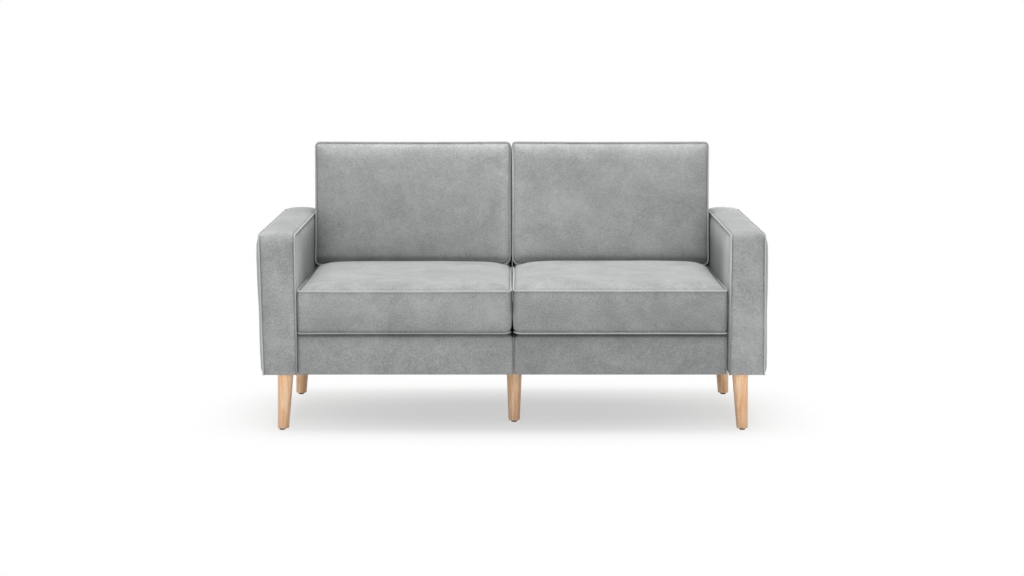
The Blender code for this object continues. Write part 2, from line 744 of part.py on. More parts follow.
def back_inside(side, sign):
    """From the front: foam sheet, woven webbing, and a frame of posts and rails."""
    inner = MODULE_INNER + COVER_WALL + CLEARANCE
    outer = MODULE_OUTER - COVER_WALL - CLEARANCE
    top = BACK_TOP - COVER_WALL - CLEARANCE
    sheet = BACK_WALL + CLEARANCE
    strap = sheet + BACK_FOAM + CLEARANCE
    wood = strap + WEBBING + CLEARANCE
    form = bmesh.new()
    prism(form, leaning_slab(sheet, sheet + BACK_FOAM, BASE_TOP, top), sign * inner, sign * outer)
    finish("back_foam_" + side, form, foam)

    form = bmesh.new()
    prism(form, leaning_slab(strap, strap + WEBBING, BASE_TOP, top), sign * inner, sign * outer)
    webbing = finish("back_webbing_" + side, form, webbing_cloth)
    form = bmesh.new()
    for x0, x1 in between_straps(inner, outer, WEBBING_UPRIGHT_STRAPS):
        for low, high in between_straps(BASE_TOP, top, WEBBING_LEVEL_STRAPS):
            box(form, (sign * x0, BACK_FRONT, low), (sign * x1, BACK_REAR, high))
    cut(webbing, cutter("webbing_gaps_" + side, form))

    form = bmesh.new()
    prism(form, back_section(wood, COVER_WALL + CLEARANCE, top, UNDERSIDE), sign * inner, sign * outer)
    frame = finish("back_frame_" + side, form, pine)
    form = bmesh.new()
    for low, high in ((UNDERSIDE + BACK_RAIL_HEIGHT, BASE_TOP), (BASE_TOP + BACK_RAIL_HEIGHT,
                                                                 top - BACK_RAIL_HEIGHT)):
        box(form, (sign * (inner + BACK_POST_WIDTH), BACK_FRONT, low),
            (sign * (outer - BACK_POST_WIDTH), BACK_REAR, high))
    cut(frame, cutter("back_windows_" + side, form))


# Legs

def outer_legs():
    """Name, place of the top and outward lean of the legs under the arms."""
    x = ARM_OUTER - LEG_FROM_ARM_SEAM
    lean = math.tan(LEG_SPLAY)
    return [(end + "_" + side, (sign * x, y, UNDERSIDE - CLEARANCE), sign * lean)
            for end, y in (("front", FRONT + LEG_FROM_FRONT), ("rear", REAR - LEG_FROM_REAR))
            for side, sign in SIDES]


def centre_legs():
    """The same for the two legs under the joint of the seat bases."""
    front = FRONT + LEG_FROM_FRONT + CENTRE_LEG_SETBACK
    rear = BASE_REAR - (front - BASE_FRONT)
    top = UNDERSIDE - PLATE - 2 * CLEARANCE
    return [("front_centre", (CENTRE_LEG_SHIFT, front, top), 0.0),
            ("rear_centre", (CENTRE_LEG_SHIFT, rear, top), 0.0)]


def leg(name, place, lean):
    top = place[2]
    bore = BOLT_RADIUS + CLEARANCE
    bore_end = top - BOLT_IN_LEG - CLEARANCE
    pin_bore = GLIDE_PIN_RADIUS + CLEARANCE
    pin_end = GLIDE_HEIGHT + GLIDE_PIN + CLEARANCE
    foot = GLIDE_HEIGHT + CLEARANCE
    form = bmesh.new()
    turned(form, place, [(0, pin_end), (pin_bore, pin_end), (pin_bore, foot),
                         (LEG_FOOT_RADIUS - LEG_FOOT_CHAMFER, foot),
                         (LEG_FOOT_RADIUS, foot + LEG_FOOT_CHAMFER), (LEG_TOP_RADIUS, top),
                         (bore, top), (bore, bore_end), (0, bore_end)], LEG_SIDES, lean)
    post = finish("leg_" + name, form, beech)
    post.data.shade_smooth()
    post.data.set_sharp_from_angle(angle=SOFT_EDGE_ANGLE)


def foot_glide(name, place, lean):
    pin_end = GLIDE_HEIGHT + GLIDE_PIN
    form = bmesh.new()
    turned(form, place, [(0, 0.0), (GLIDE_RADIUS - GLIDE_EDGE, 0.0), (GLIDE_RADIUS, GLIDE_EDGE),
                         (GLIDE_RADIUS, GLIDE_HEIGHT), (GLIDE_PIN_RADIUS, GLIDE_HEIGHT),
                         (GLIDE_PIN_RADIUS, pin_end), (0, pin_end)], GLIDE_SIDES, lean)
    finish("foot_glide_" + name, form, glide_plastic)


def leg_bolt(name, place, lean):
    low = place[2] - BOLT_IN_LEG
    high = UNDERSIDE + BOLT_IN_FRAME
    form = bmesh.new()
    turned(form, place, [(0, low), (BOLT_RADIUS, low), (BOLT_RADIUS, high), (0, high)], BOLT_SIDES, lean)
    finish("leg_bolt_" + name, form, zinc_steel)


def bolt_holes(arm_frames):
    hole = BOLT_RADIUS + CLEARANCE
    low = UNDERSIDE - CUT_OVERRUN
    high = UNDERSIDE + BOLT_IN_FRAME + CLEARANCE
    form = bmesh.new()
    for _, place, lean in outer_legs():
        turned(form, place, [(0, low), (hole, low), (hole, high), (0, high)], BOLT_SIDES, lean)
    shape = cutter("bolt_holes", form)
    for frame in arm_frames:
        cut(frame, shape)


def centre_leg_plate(name, place):
    """A steel plate under the joint of the seat bases, with the stud of its leg."""
    top = UNDERSIDE - CLEARANCE
    form = bmesh.new()
    box(form, (-PLATE_WIDTH / 2, place[1] - PLATE_DEPTH / 2, top - PLATE),
        (PLATE_WIDTH / 2, place[1] + PLATE_DEPTH / 2, top))
    plate = finish("leg_plate_" + name, form, zinc_steel)
    low = place[2] - BOLT_IN_LEG
    high = top - PLATE / 2
    form = bmesh.new()
    turned(form, place, [(0, low), (BOLT_RADIUS, low), (BOLT_RADIUS, high), (0, high)], BOLT_SIDES)
    join(plate, cutter("stud_" + name, form))


def joining_plate(side, sign):
    """A flat steel plate under the joint of an arm and a seat base."""
    middle = (ARM_INNER + MODULE_OUTER) / 2
    top = UNDERSIDE - CLEARANCE
    form = bmesh.new()
    box(form, (sign * (middle - PLATE_WIDTH / 2), -PLATE_DEPTH / 2, top - PLATE),
        (sign * (middle + PLATE_WIDTH / 2), PLATE_DEPTH / 2, top))
    finish("joining_plate_" + side, form, zinc_steel)


def build():
    clear_scene()
    arm_frames = []
    for side, sign in SIDES:
        arm_cover(side, sign)
        arm_piping(side, sign)
        arm_frames.append(arm_inside(side, sign))
        seat_base_cover(side, sign)
        seat_frame(side, sign)
        seat_springs(side, sign)
        seat_deck_pad(side, sign)
        seat_dust_cover(side, sign)
        back_cover(side, sign)
        back_inside(side, sign)
        seat_cushion(side, sign)
        back_cushion(side, sign)
        joining_plate(side, sign)
    bolt_holes(arm_frames)
    for name, place, lean in outer_legs():
        leg(name, place, lean)
        leg_bolt(name, place, lean)
        foot_glide(name, place, lean)
    for name, place, lean in centre_legs():
        leg(name, place, lean)
        centre_leg_plate(name, place)
        foot_glide(name, place, lean)


build()
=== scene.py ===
# %% [markdown]
# # A two-seat loveseat in light grey velvet
#
# The real sofa is a kit of modules: two box arms, two seat bases and two backs, bolted side
# by side on six turned legs, with four loose box cushions lying in it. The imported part
# already holds the exact frames, springs, webbing and fixings. This lesson keeps those,
# gives them finishes, and remakes what is soft or turned, because a stuffed cover is never
# a flat box: its crowns, seams and pile are what the eye reads. Lengths are in metres, X runs
# to the right, Y to the rear and Z up.

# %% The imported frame
import math

import bpy
import numpy as np
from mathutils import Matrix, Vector
from mathutils import noise as field


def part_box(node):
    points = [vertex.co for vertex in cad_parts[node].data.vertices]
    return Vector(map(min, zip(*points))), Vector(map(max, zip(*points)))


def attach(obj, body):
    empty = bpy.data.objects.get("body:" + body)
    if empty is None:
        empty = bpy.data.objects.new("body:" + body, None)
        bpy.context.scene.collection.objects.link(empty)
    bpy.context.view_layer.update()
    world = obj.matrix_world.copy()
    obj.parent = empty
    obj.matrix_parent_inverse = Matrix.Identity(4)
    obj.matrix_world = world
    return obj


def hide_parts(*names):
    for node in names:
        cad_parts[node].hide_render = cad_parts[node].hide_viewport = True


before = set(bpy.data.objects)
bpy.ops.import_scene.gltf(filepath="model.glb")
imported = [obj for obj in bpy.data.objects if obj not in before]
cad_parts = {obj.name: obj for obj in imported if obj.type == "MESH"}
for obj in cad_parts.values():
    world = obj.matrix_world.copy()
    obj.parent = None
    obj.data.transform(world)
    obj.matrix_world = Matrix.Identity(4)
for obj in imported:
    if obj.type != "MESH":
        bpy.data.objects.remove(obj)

scene = bpy.context.scene
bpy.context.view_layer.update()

# %% [markdown]
# ## Camera
#
# The photograph was taken straight from the front with a long lens, from a little above the
# seat. A camera can be placed by eye, or fitted to edges measured in the picture. The fitted
# one is used here.

# %% Camera
LENS = 77.1
SENSOR_WIDTH = 36
CAMERA_PLACE = (-0.0009, -6.979, 1.307)
CAMERA_TILT = math.radians(90 - 7.469)

bpy.ops.object.camera_add(location=CAMERA_PLACE, rotation=(CAMERA_TILT, 0, 0))
camera = bpy.context.object
camera.name = "studio_camera"
camera.data.lens = LENS
camera.data.sensor_width = SENSOR_WIDTH
scene.camera = camera
scene.view_settings.view_transform = "Standard"
print("camera at", CAMERA_PLACE, "with a lens of", LENS, "mm")

# %% [markdown]
# ## Colours and nodes
#
# Colours are picked as sRGB hex values, as a painter's chart gives them, and turned to the
# linear values that the renderer works in. One small function adds a node with its settings
# and links, so that every material below reads like its own wiring plan.

# %% Colour and node helpers
def linear(hex_colour):
    """An sRGB hex colour as linear RGBA."""
    shares = [int(hex_colour[start:start + 2], 16) / 255 for start in (1, 3, 5)]
    return [s / 12.92 if s <= 0.04045 else ((s + 0.055) / 1.055) ** 2.4 for s in shares] + [1.0]


def add_node(tree, kind, settings=None, links=None):
    """A node of that kind; settings fill its fields and sockets, links feed its sockets."""
    made = tree.nodes.new("ShaderNode" + kind)
    for name, value in (settings or {}).items():
        if isinstance(name, str) and hasattr(made, name):
            setattr(made, name, value)
        else:
            made.inputs[name].default_value = value
    for name, output in (links or {}).items():
        tree.links.new(output, made.inputs[name])
    return made


def new_material(name):
    """An empty material and its tree, with only the output node in it."""
    made = bpy.data.materials.new(name)
    made.use_nodes = True
    made.node_tree.nodes.clear()
    return made, made.node_tree


def finish_surface(tree, shader):
    """Wires a shader to the material's output."""
    add_node(tree, "OutputMaterial", links={"Surface": shader.outputs[0]})


def math_node(tree, operation, first, second):
    """Two values joined; each is a number or another node's output."""
    settings, links = {"operation": operation}, {}
    for index, value in enumerate((first, second)):
        (settings if isinstance(value, (int, float)) else links)[index] = value
    return add_node(tree, "Math", settings, links).outputs[0]


def mixed(tree, share, first, second):
    """Two colours mixed by a share; each is a hex colour or another node's output."""
    settings, links = {"data_type": "RGBA"}, {0: share}
    for index, value in ((6, first), (7, second)):
        if isinstance(value, str):
            settings[index] = linear(value)
        else:
            links[index] = value
    return add_node(tree, "Mix", settings, links).outputs[2]


def speckle(tree, place, size, detail=2.0, roughness=0.5, distortion=0.0):
    """A soft noise whose spots are about size metres across."""
    return add_node(tree, "TexNoise", {"Scale": 1 / size, "Detail": detail, "Roughness": roughness,
                                       "Distortion": distortion}, {"Vector": place}).outputs[0]


# %% [markdown]
# ## Studio
#
# The sofa stands on a seamless white ground. A wide plane under a plain sky would do, but
# its far end would show as an edge. So the floor is a pale diffuse surface under the sofa,
# where it takes the soft shadow, and fades to plain white around it. That white is shown to
# the camera only, so that it throws no extra light. Light is soft: a broad lamp high above
# and a little behind, a broad weaker one low in front, and a pale sky.

# %% Floor and sky
FLOOR_WHITE = "#E8E8E8"
FLOOR_REACH = 400
SHADOW_PLACE = (0, 0.06, 0)
SHADOW_SHAPE = (0.35, 1, 1)  # a pool three times as wide as it is deep
FADE_START = 0.10
FADE_END = 0.68
SHADOW_LIFT = 0.56  # the share of plain white in the pool, which keeps the shadow light
SKY_LIGHT = 0.26


def is_seen_directly(tree):
    """1 for what the camera, a mirror or a glass shows, 0 for light that falls on things."""
    path = add_node(tree, "LightPath")
    seen = math_node(tree, "MAXIMUM", path.outputs["Is Camera Ray"], path.outputs["Is Glossy Ray"])
    return math_node(tree, "MAXIMUM", seen, path.outputs["Is Transmission Ray"])


def studio_floor():
    """Matt white paint under the sofa, where its shadow falls, and pure white around it."""
    made, tree = new_material("white_studio_floor")
    place = add_node(tree, "TexCoord").outputs["Object"]
    place = add_node(tree, "Mapping", {"Location": SHADOW_PLACE, "Scale": SHADOW_SHAPE},
                     {"Vector": place}).outputs[0]
    distance = add_node(tree, "VectorMath", {"operation": "LENGTH"}, {0: place}).outputs["Value"]
    fade = add_node(tree, "MapRange", {"interpolation_type": "SMOOTHSTEP", "From Min": FADE_START,
                                       "From Max": FADE_END, "To Min": SHADOW_LIFT},
                    {"Value": distance}).outputs[0]
    share = math_node(tree, "MULTIPLY", fade, is_seen_directly(tree))
    paint = add_node(tree, "BsdfDiffuse", {"Color": linear(FLOOR_WHITE)})
    white = add_node(tree, "Emission", {"Color": linear("#FFFFFF"), "Strength": 1.0})
    finish_surface(tree, add_node(tree, "MixShader", links={0: share, 1: paint.outputs[0],
                                                            2: white.outputs[0]}))
    return made


bpy.ops.mesh.primitive_plane_add(size=FLOOR_REACH)
floor = bpy.context.object
floor.name = "studio_floor"
floor.data.materials.append(studio_floor())

sky = bpy.data.worlds.new("studio_sky")
scene.world = sky
sky.use_nodes = True
sky.node_tree.nodes.clear()
lit = add_node(sky.node_tree, "Background", {"Color": linear("#FFFFFF"), "Strength": SKY_LIGHT})
shown = add_node(sky.node_tree, "Background", {"Color": linear("#FFFFFF"), "Strength": 1.0})
either = add_node(sky.node_tree, "MixShader", links={0: is_seen_directly(sky.node_tree),
                                                     1: lit.outputs[0], 2: shown.outputs[0]})
add_node(sky.node_tree, "OutputWorld", links={"Surface": either.outputs[0]})

# %% Lamps
LAMPS = (
    ("overhead_softbox", 3.00, (math.radians(-8), 0, 0), math.radians(50)),
    ("front_softbox", 1.38, (math.radians(83), 0, 0), math.radians(38)),
)
LAMP_HEIGHT = 4  # a sun lights the same from any height

for name, strength, turn, spread in LAMPS:
    bpy.ops.object.light_add(type="SUN", location=(0, 0, LAMP_HEIGHT), rotation=turn)
    lamp = bpy.context.object
    lamp.name = name
    lamp.data.energy = strength
    lamp.data.angle = spread
    print(name, "strength", strength)


# %% [markdown]
# ## Velvet
#
# The covers are short-pile polyester velvet. Its pile is a dense stand of fibres about 2 mm
# long, which scatters light, turns pale where it is seen edge-on, and shows soft lighter and
# darker patches where a hand has brushed it. The pile could be grown as hair, but at this
# distance no fibre shows. So it is a rough surface with sheen, a fine bump, and three sizes
# of noise in its colour: brushed patches, hand marks and the grain of the pile. Two values
# kept on each piece's points paint light and shade into that colour: one makes it paler where
# more light falls and darker where less falls, and the other is 1 in a seam and several times
# that in a hole between cushions, and paints the shade that falls there. Sheen doesn't follow
# these two, so places in shade get copies of the velvet with less sheen, which paint shade too.

# %% Velvet
PATCH = 0.100
HAND_MARK = 0.024
PILE_GRAIN = 0.0042  # the fibres' tufts are 0.4 mm apart; drawn as coarse as still shows
PILE_DEPTH = 0.0006
PATCH_SHARE = 0.32
HAND_MARK_SHARE = 0.16
GRAIN_SHARE = 0.52
DARK_NOISE = 0.38
LIGHT_NOISE = 0.62
PAINTED_SHADING_TONE = 0.25
PAINTED_SHADE_TONE = 0.24
DARKEST_TONE = 0.02
OPEN_SHEEN = 0.35
# less sheen for the velvet copies that paint shade: a little less on the arms' inner panels, next to none
# in holes and gaps
SHADE_VELVET_SHEEN = 0.22
DEEP_SHADE_SHEEN = 0.04


def velvet(name, brushed_light, brushed_dark, sheen=OPEN_SHEEN):
    """Woven polyester velvet: matt and cloudy seen straight on, pale where seen edge-on."""
    made, tree = new_material(name)
    place = add_node(tree, "TexCoord").outputs["Object"]
    patches = speckle(tree, place, PATCH, detail=3, distortion=0.5)
    marks = speckle(tree, place, HAND_MARK, detail=3)
    grain = speckle(tree, place, PILE_GRAIN, detail=2, roughness=0.6)
    broad = math_node(tree, "ADD", math_node(tree, "MULTIPLY", patches, PATCH_SHARE),
                      math_node(tree, "MULTIPLY", marks, HAND_MARK_SHARE))
    share = math_node(tree, "ADD", broad, math_node(tree, "MULTIPLY", grain, GRAIN_SHARE))
    share = add_node(tree, "MapRange", {"From Min": DARK_NOISE, "From Max": LIGHT_NOISE},
                     {"Value": share}).outputs[0]
    colour = mixed(tree, share, brushed_dark, brushed_light)
    # painted light and shade: two values kept on the points make the colour paler or darker
    painted_shading = add_node(tree, "Attribute", {"attribute_name": "painted_shading"}).outputs["Fac"]
    painted_shade = add_node(tree, "Attribute", {"attribute_name": "painted_shade"}).outputs["Fac"]
    tone = math_node(tree, "ADD", math_node(tree, "MULTIPLY", painted_shading, PAINTED_SHADING_TONE),
                     math_node(tree, "MULTIPLY", painted_shade, -PAINTED_SHADE_TONE))
    tone = math_node(tree, "MAXIMUM", math_node(tree, "ADD", tone, 1.0), DARKEST_TONE)
    colour = add_node(tree, "VectorMath", {"operation": "SCALE"},
                      {0: colour, "Scale": tone}).outputs["Vector"]
    bump = add_node(tree, "Bump", {"Strength": 0.4, "Distance": PILE_DEPTH}, {"Height": grain})
    shader = add_node(tree, "BsdfPrincipled", {
        "Roughness": 0.92, "Specular IOR Level": 0.12, "Sheen Weight": sheen,
        "Sheen Roughness": 0.38, "Sheen Tint": linear("#F4F6F6")},
        {"Base Color": colour, "Normal": bump.outputs[0]})
    finish_surface(tree, shader)
    print(name, "made, with a sheen of", sheen)
    return made


cover_velvet = velvet("light_grey_cover_velvet", "#B2B3B3", "#919393")
# the cushions get a lighter copy of the covers' velvet, which paints in more light on them
lit_cushion_velvet = velvet("light_grey_lit_cushion_velvet", "#B8B9B9", "#979999")
# the cords' velvet is lighter still, partly as pile stretched over a cord is, and partly as a painted
# highlight
highlit_cord_velvet = velvet("light_grey_highlit_piping_velvet", "#C2C4C4", "#B2B4B4")
# two copies with less sheen, which paint the shade on the arms' inner panels and in the holes and gaps
# between pieces
shade_velvet = velvet("light_grey_shade_velvet", "#B2B3B3", "#919393", SHADE_VELVET_SHEEN)
deep_shade_velvet = velvet("light_grey_deep_shade_velvet", "#B2B3B3", "#919393", DEEP_SHADE_SHEEN)

# %% [markdown]
# ## Working on meshes
#
# A stuffed piece starts as a block with rows cut into it, close together beside the seams.
# Then its points are moved and the cloth solver fills it. These helpers select one piece,
# add such a block, and hand its points over as one array.

# %% Blocks with rows
X, Y, Z = range(3)
EDGE_ROWS = (0.0050, 0.0105, 0.0190)
ROW_STEP = 0.0125


def take(piece):
    """Makes one piece the only selected and the active one."""
    bpy.ops.object.select_all(action="DESELECT")
    piece.select_set(True)
    bpy.context.view_layer.objects.active = piece
    return piece


def add_block(name, low, high):
    """A box between two corners, with its place in its mesh."""
    low, high = Vector(low), Vector(high)
    bpy.ops.object.select_all(action="DESELECT")
    bpy.ops.mesh.primitive_cube_add(size=1, location=(low + high) / 2, scale=high - low)
    bpy.ops.object.transform_apply(location=True, rotation=False, scale=True)
    piece = bpy.context.object
    piece.name = name
    return piece


def rows_between(low, high, near_seams=EDGE_ROWS, step=ROW_STEP):
    """Places for cuts between two seams: close beside them, even in between."""
    start, end = low + near_seams[-1], high - near_seams[-1]
    count = max(2, round((end - start) / step))
    middle = [start + (end - start) * k / count for k in range(count + 1)]
    return [low + e for e in near_seams[:-1]] + middle + [high - e for e in reversed(near_seams[:-1])]


def cut_rows(piece, axis, places):
    """Cuts the whole piece square to one axis at each place."""
    take(piece)
    normal = [float(axis == other) for other in range(3)]
    bpy.ops.object.mode_set(mode="EDIT")
    for place in places:
        bpy.ops.mesh.select_all(action="SELECT")
        bpy.ops.mesh.bisect(plane_co=[place * share for share in normal], plane_no=normal)
    bpy.ops.object.mode_set(mode="OBJECT")


def gridded_block(name, low, high):
    piece = add_block(name, low, high)
    for axis in (X, Y, Z):
        cut_rows(piece, axis, rows_between(low[axis], high[axis]))
    return piece


# %% Points, groups and tones
SAME_PLACE = 1e-5
CREASE_REACH = 0.0040


def points_of(piece):
    flat = np.empty(len(piece.data.vertices) * 3)
    piece.data.vertices.foreach_get("co", flat)
    return flat.reshape(-1, 3)


def set_points(piece, places):
    piece.data.vertices.foreach_set("co", places.ravel())
    piece.data.update()


def print_size(piece):
    print(piece.name, "measures", np.ptp(points_of(piece), axis=0).round(3), "m")


def near(values, place):
    return np.abs(values - place) < SAME_PLACE


def mark(piece, name, chosen):
    """Keeps some points as a named group, which outlives every later step."""
    group = piece.vertex_groups.new(name=name)
    group.add([int(index) for index in np.flatnonzero(chosen)], 1.0, "REPLACE")


def marked(piece, name):
    """Which points are fully in a named group."""
    index = piece.vertex_groups[name].index
    return np.array([any(g.group == index and g.weight > 0.9 for g in v.groups)
                     for v in piece.data.vertices])


def tone_points(piece, name, values):
    """Keeps a value per point for the velvet to read; a second call adds to the first."""
    kept = piece.data.attributes.get(name) or piece.data.attributes.new(name, "FLOAT", "POINT")
    before = np.zeros(len(kept.data), np.float32)
    kept.data.foreach_get("value", before)
    kept.data.foreach_set("value", before + np.asarray(values, np.float32))


def crease_by(distance, reach=CREASE_REACH):
    """1 in a seam, fading away from it."""
    return np.exp(-(distance / reach) ** 2)


def along_table(values, table):
    """Reads a small table of (place, value) pairs, with straight lines in between."""
    return np.interp(values, *zip(*table))


def second_velvet(piece, material, chosen):
    """Gives another velvet to the faces that chosen(middles, normals) picks."""
    faces = piece.data.polygons
    middles, normals = np.empty(len(faces) * 3, np.float32), np.empty(len(faces) * 3, np.float32)
    faces.foreach_get("center", middles)
    faces.foreach_get("normal", normals)
    piece.data.materials.append(material)
    picked = chosen(middles.reshape(-1, 3).T, normals.reshape(-1, 3).T)
    faces.foreach_set("material_index", picked.astype(np.int32))


def keep_between(piece, axis, low, high):
    """Flattens what a piece has beyond two places on one axis, as a neighbour does."""
    spots = points_of(piece)
    spots[:, axis] = np.clip(spots[:, axis], low, high)
    set_points(piece, spots)


def keep_to_side(piece, side, meeting):
    """Keeps a left or a right piece on its own side of a meeting place."""
    keep_between(piece, X, *((-1, meeting) if side == "left" else (meeting, 1)))


def drift(places, size, height, seed):
    """Slow, seeded waves: a height for each place, spots about size metres across."""
    offset = Vector((seed * 7.3, seed * 3.1, seed * 5.7))
    return height * np.array([field.noise(Vector(place) / size + offset) for place in places])


# %% A piece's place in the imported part
def stands_for(piece, node, body):
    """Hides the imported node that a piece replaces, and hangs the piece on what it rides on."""
    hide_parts(node)
    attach(piece, body)


# %% [markdown]
# ## Stuffing
#
# A cover takes its shape from what fills it. Crowns could be drawn by formula alone, but
# then every panel is the same perfect dome. So the formula sets the size, and Blender's
# cloth solver presses the fabric out for 20 frames with its seams held, which tightens the
# panels and rounds them off unevenly. How far a point may move is limited, so that the
# piece keeps its measured size.

# %% Stuffing
CLOTH_FRAMES = 20
CLOTH_QUALITY = 6
PRESSURE = 3.0
CUSHION_REACH = 0.004
ARM_REACH = 0.002


def stuff(piece, reach):
    """Presses a cover out by cloth simulation; held points stay, and no point moves past reach."""
    start = points_of(piece)
    take(piece)
    cloth = piece.modifiers.new("stuffing", "CLOTH")
    cloth.settings.quality = CLOTH_QUALITY
    cloth.settings.use_pressure = True
    cloth.settings.uniform_pressure_force = PRESSURE
    cloth.settings.vertex_group_mass = "held"
    cloth.settings.effector_weights.gravity = 0
    cloth.collision_settings.use_collision = False
    for moment in range(1, CLOTH_FRAMES + 1):
        scene.frame_set(moment)
    bpy.ops.object.modifier_apply(modifier="stuffing")
    scene.frame_set(1)
    move = points_of(piece) - start
    far = np.linalg.norm(move, axis=1, keepdims=True)
    set_points(piece, start + move / (1 + far / reach))
    print(piece.name, "stuffed: the cloth pressed out by up to", round(float(far.max()) * 1000, 1), "mm")


def subdivide_once(piece):
    take(piece)
    smooth = piece.modifiers.new("rounding", "SUBSURF")
    smooth.levels = smooth.render_levels = 1
    bpy.ops.object.modifier_apply(modifier="rounding")
    bpy.ops.object.shade_smooth()
    print_size(piece)


# %% [markdown]
# ## Piping
#
# The seams are piped: a cord of about 3 mm is wrapped in a strip of the same velvet and sewn
# in between two panels. It could be a curve drawn beside the cushion, but it would never
# follow a stuffed seam. So the seam's own edge loop is copied off the finished piece, moved
# out along its normals to where the cord lies, turned into a curve and given thickness.

# %% Piping
PIPING_RADIUS = 0.0027
PIPING_LIFT = 0.0040


def piping(name, piece, seam, lift=PIPING_LIFT):
    """A wrapped cord along the points of one seam, moved out by lift along their normals."""
    take(piece)
    bpy.ops.object.duplicate()
    cord = bpy.context.object
    cord.name = name
    bpy.ops.object.mode_set(mode="EDIT")
    bpy.ops.mesh.select_all(action="SELECT")
    bpy.ops.transform.shrink_fatten(value=lift)
    bpy.ops.mesh.select_all(action="DESELECT")
    bpy.ops.object.mode_set(mode="OBJECT")
    cord.data.vertices.foreach_set("select", ~marked(cord, seam))
    bpy.ops.object.mode_set(mode="EDIT")
    bpy.ops.mesh.delete(type="VERT")
    bpy.ops.object.mode_set(mode="OBJECT")
    cord.vertex_groups.clear()
    bpy.ops.object.convert(target="CURVE")
    cord = bpy.context.object
    cord.data.bevel_depth = PIPING_RADIUS
    cord.data.bevel_resolution = 2
    cord.data.use_fill_caps = True
    bpy.ops.object.convert(target="MESH")
    cord = bpy.context.object
    cord.data.materials.clear()
    cord.data.materials.append(highlit_cord_velvet)
    bpy.ops.object.shade_smooth()
    return cord


# %% [markdown]
# ## Cushions
#
# A box cushion has two panels and a boxing strip between them, with piping in both seams.
# Filled with foam and fibre it is crowned, its boxing swells a little, and its sides pull in
# between the corners. It is flat only where it rests. Each one is made lying in its own
# frame, from its rear or lower panel up, and then set in its place in the sofa.

# %% Sizes that all box cushions share
SEAM_GROOVE = 0.0040
GROOVE_SHARE = 0.7  # how much of its depth a seam is drawn in
SEAM_WAVE = 0.0009
SEAM_WAVE_LENGTH = 0.16
PANEL_WAVE = 0.0007
PANEL_WAVE_LENGTH = 0.075
PANEL_SEED = 40
CROWN_ROLL = 0.046
REST_ROLL = 0.018
# share of the painted seam shade that also lies along the rest seam
REST_SEAM_SHADE = 0.3
DRAW_IN = 0.0014

# %% Curves and corners
def bump_between(share, power):
    """0 at both ends and 1 in the middle; a low power rises steeply at the ends."""
    return np.clip(4 * share * (1 - share), 0, 1) ** power


def rise_from(distance, width, power=2.4):
    """0 at a seam, rounding off to 1 at width metres from it."""
    return 1 - (1 - np.clip(distance / width, 0, 1)) ** power


def round_corners(a, b, low, high, radii):
    """Draws the corners of a grid onto arcs, so that its rows stay rows.

    The radii are for the corners low-low, low-high, high-low and high-high."""
    a, b = a.copy(), b.copy()
    corners = [(end_a, into_a, end_b, into_b) for end_a, into_a in ((low[0], 1), (high[0], -1))
               for end_b, into_b in ((low[1], 1), (high[1], -1))]
    for (end_a, into_a, end_b, into_b), radius in zip(corners, radii):
        if radius:
            p = 1 - (a - end_a) * into_a / radius
            q = 1 - (b - end_b) * into_b / radius
            corner = (p > 0) & (q > 0)
            arc_a = end_a + into_a * radius * (1 - p * np.sqrt(np.clip(1 - q * q / 2, 0, 1)))
            arc_b = end_b + into_b * radius * (1 - q * np.sqrt(np.clip(1 - p * p / 2, 0, 1)))
            a, b = np.where(corner, arc_a, a), np.where(corner, arc_b, b)
    return a, b


def outward(a, b, low, high, radii):
    """Unit directions out of a rounded outline, for points on it."""
    first, second = a < (low[0] + high[0]) / 2, b < (low[1] + high[1]) / 2
    radius = np.where(first, np.where(second, radii[0], radii[1]), np.where(second, radii[2], radii[3]))
    out = np.stack([a - np.clip(a, low[0] + radius, high[0] - radius),
                    b - np.clip(b, low[1] + radius, high[1] - radius)], axis=1)
    return out / np.maximum(np.linalg.norm(out, axis=1, keepdims=True), 1e-9)


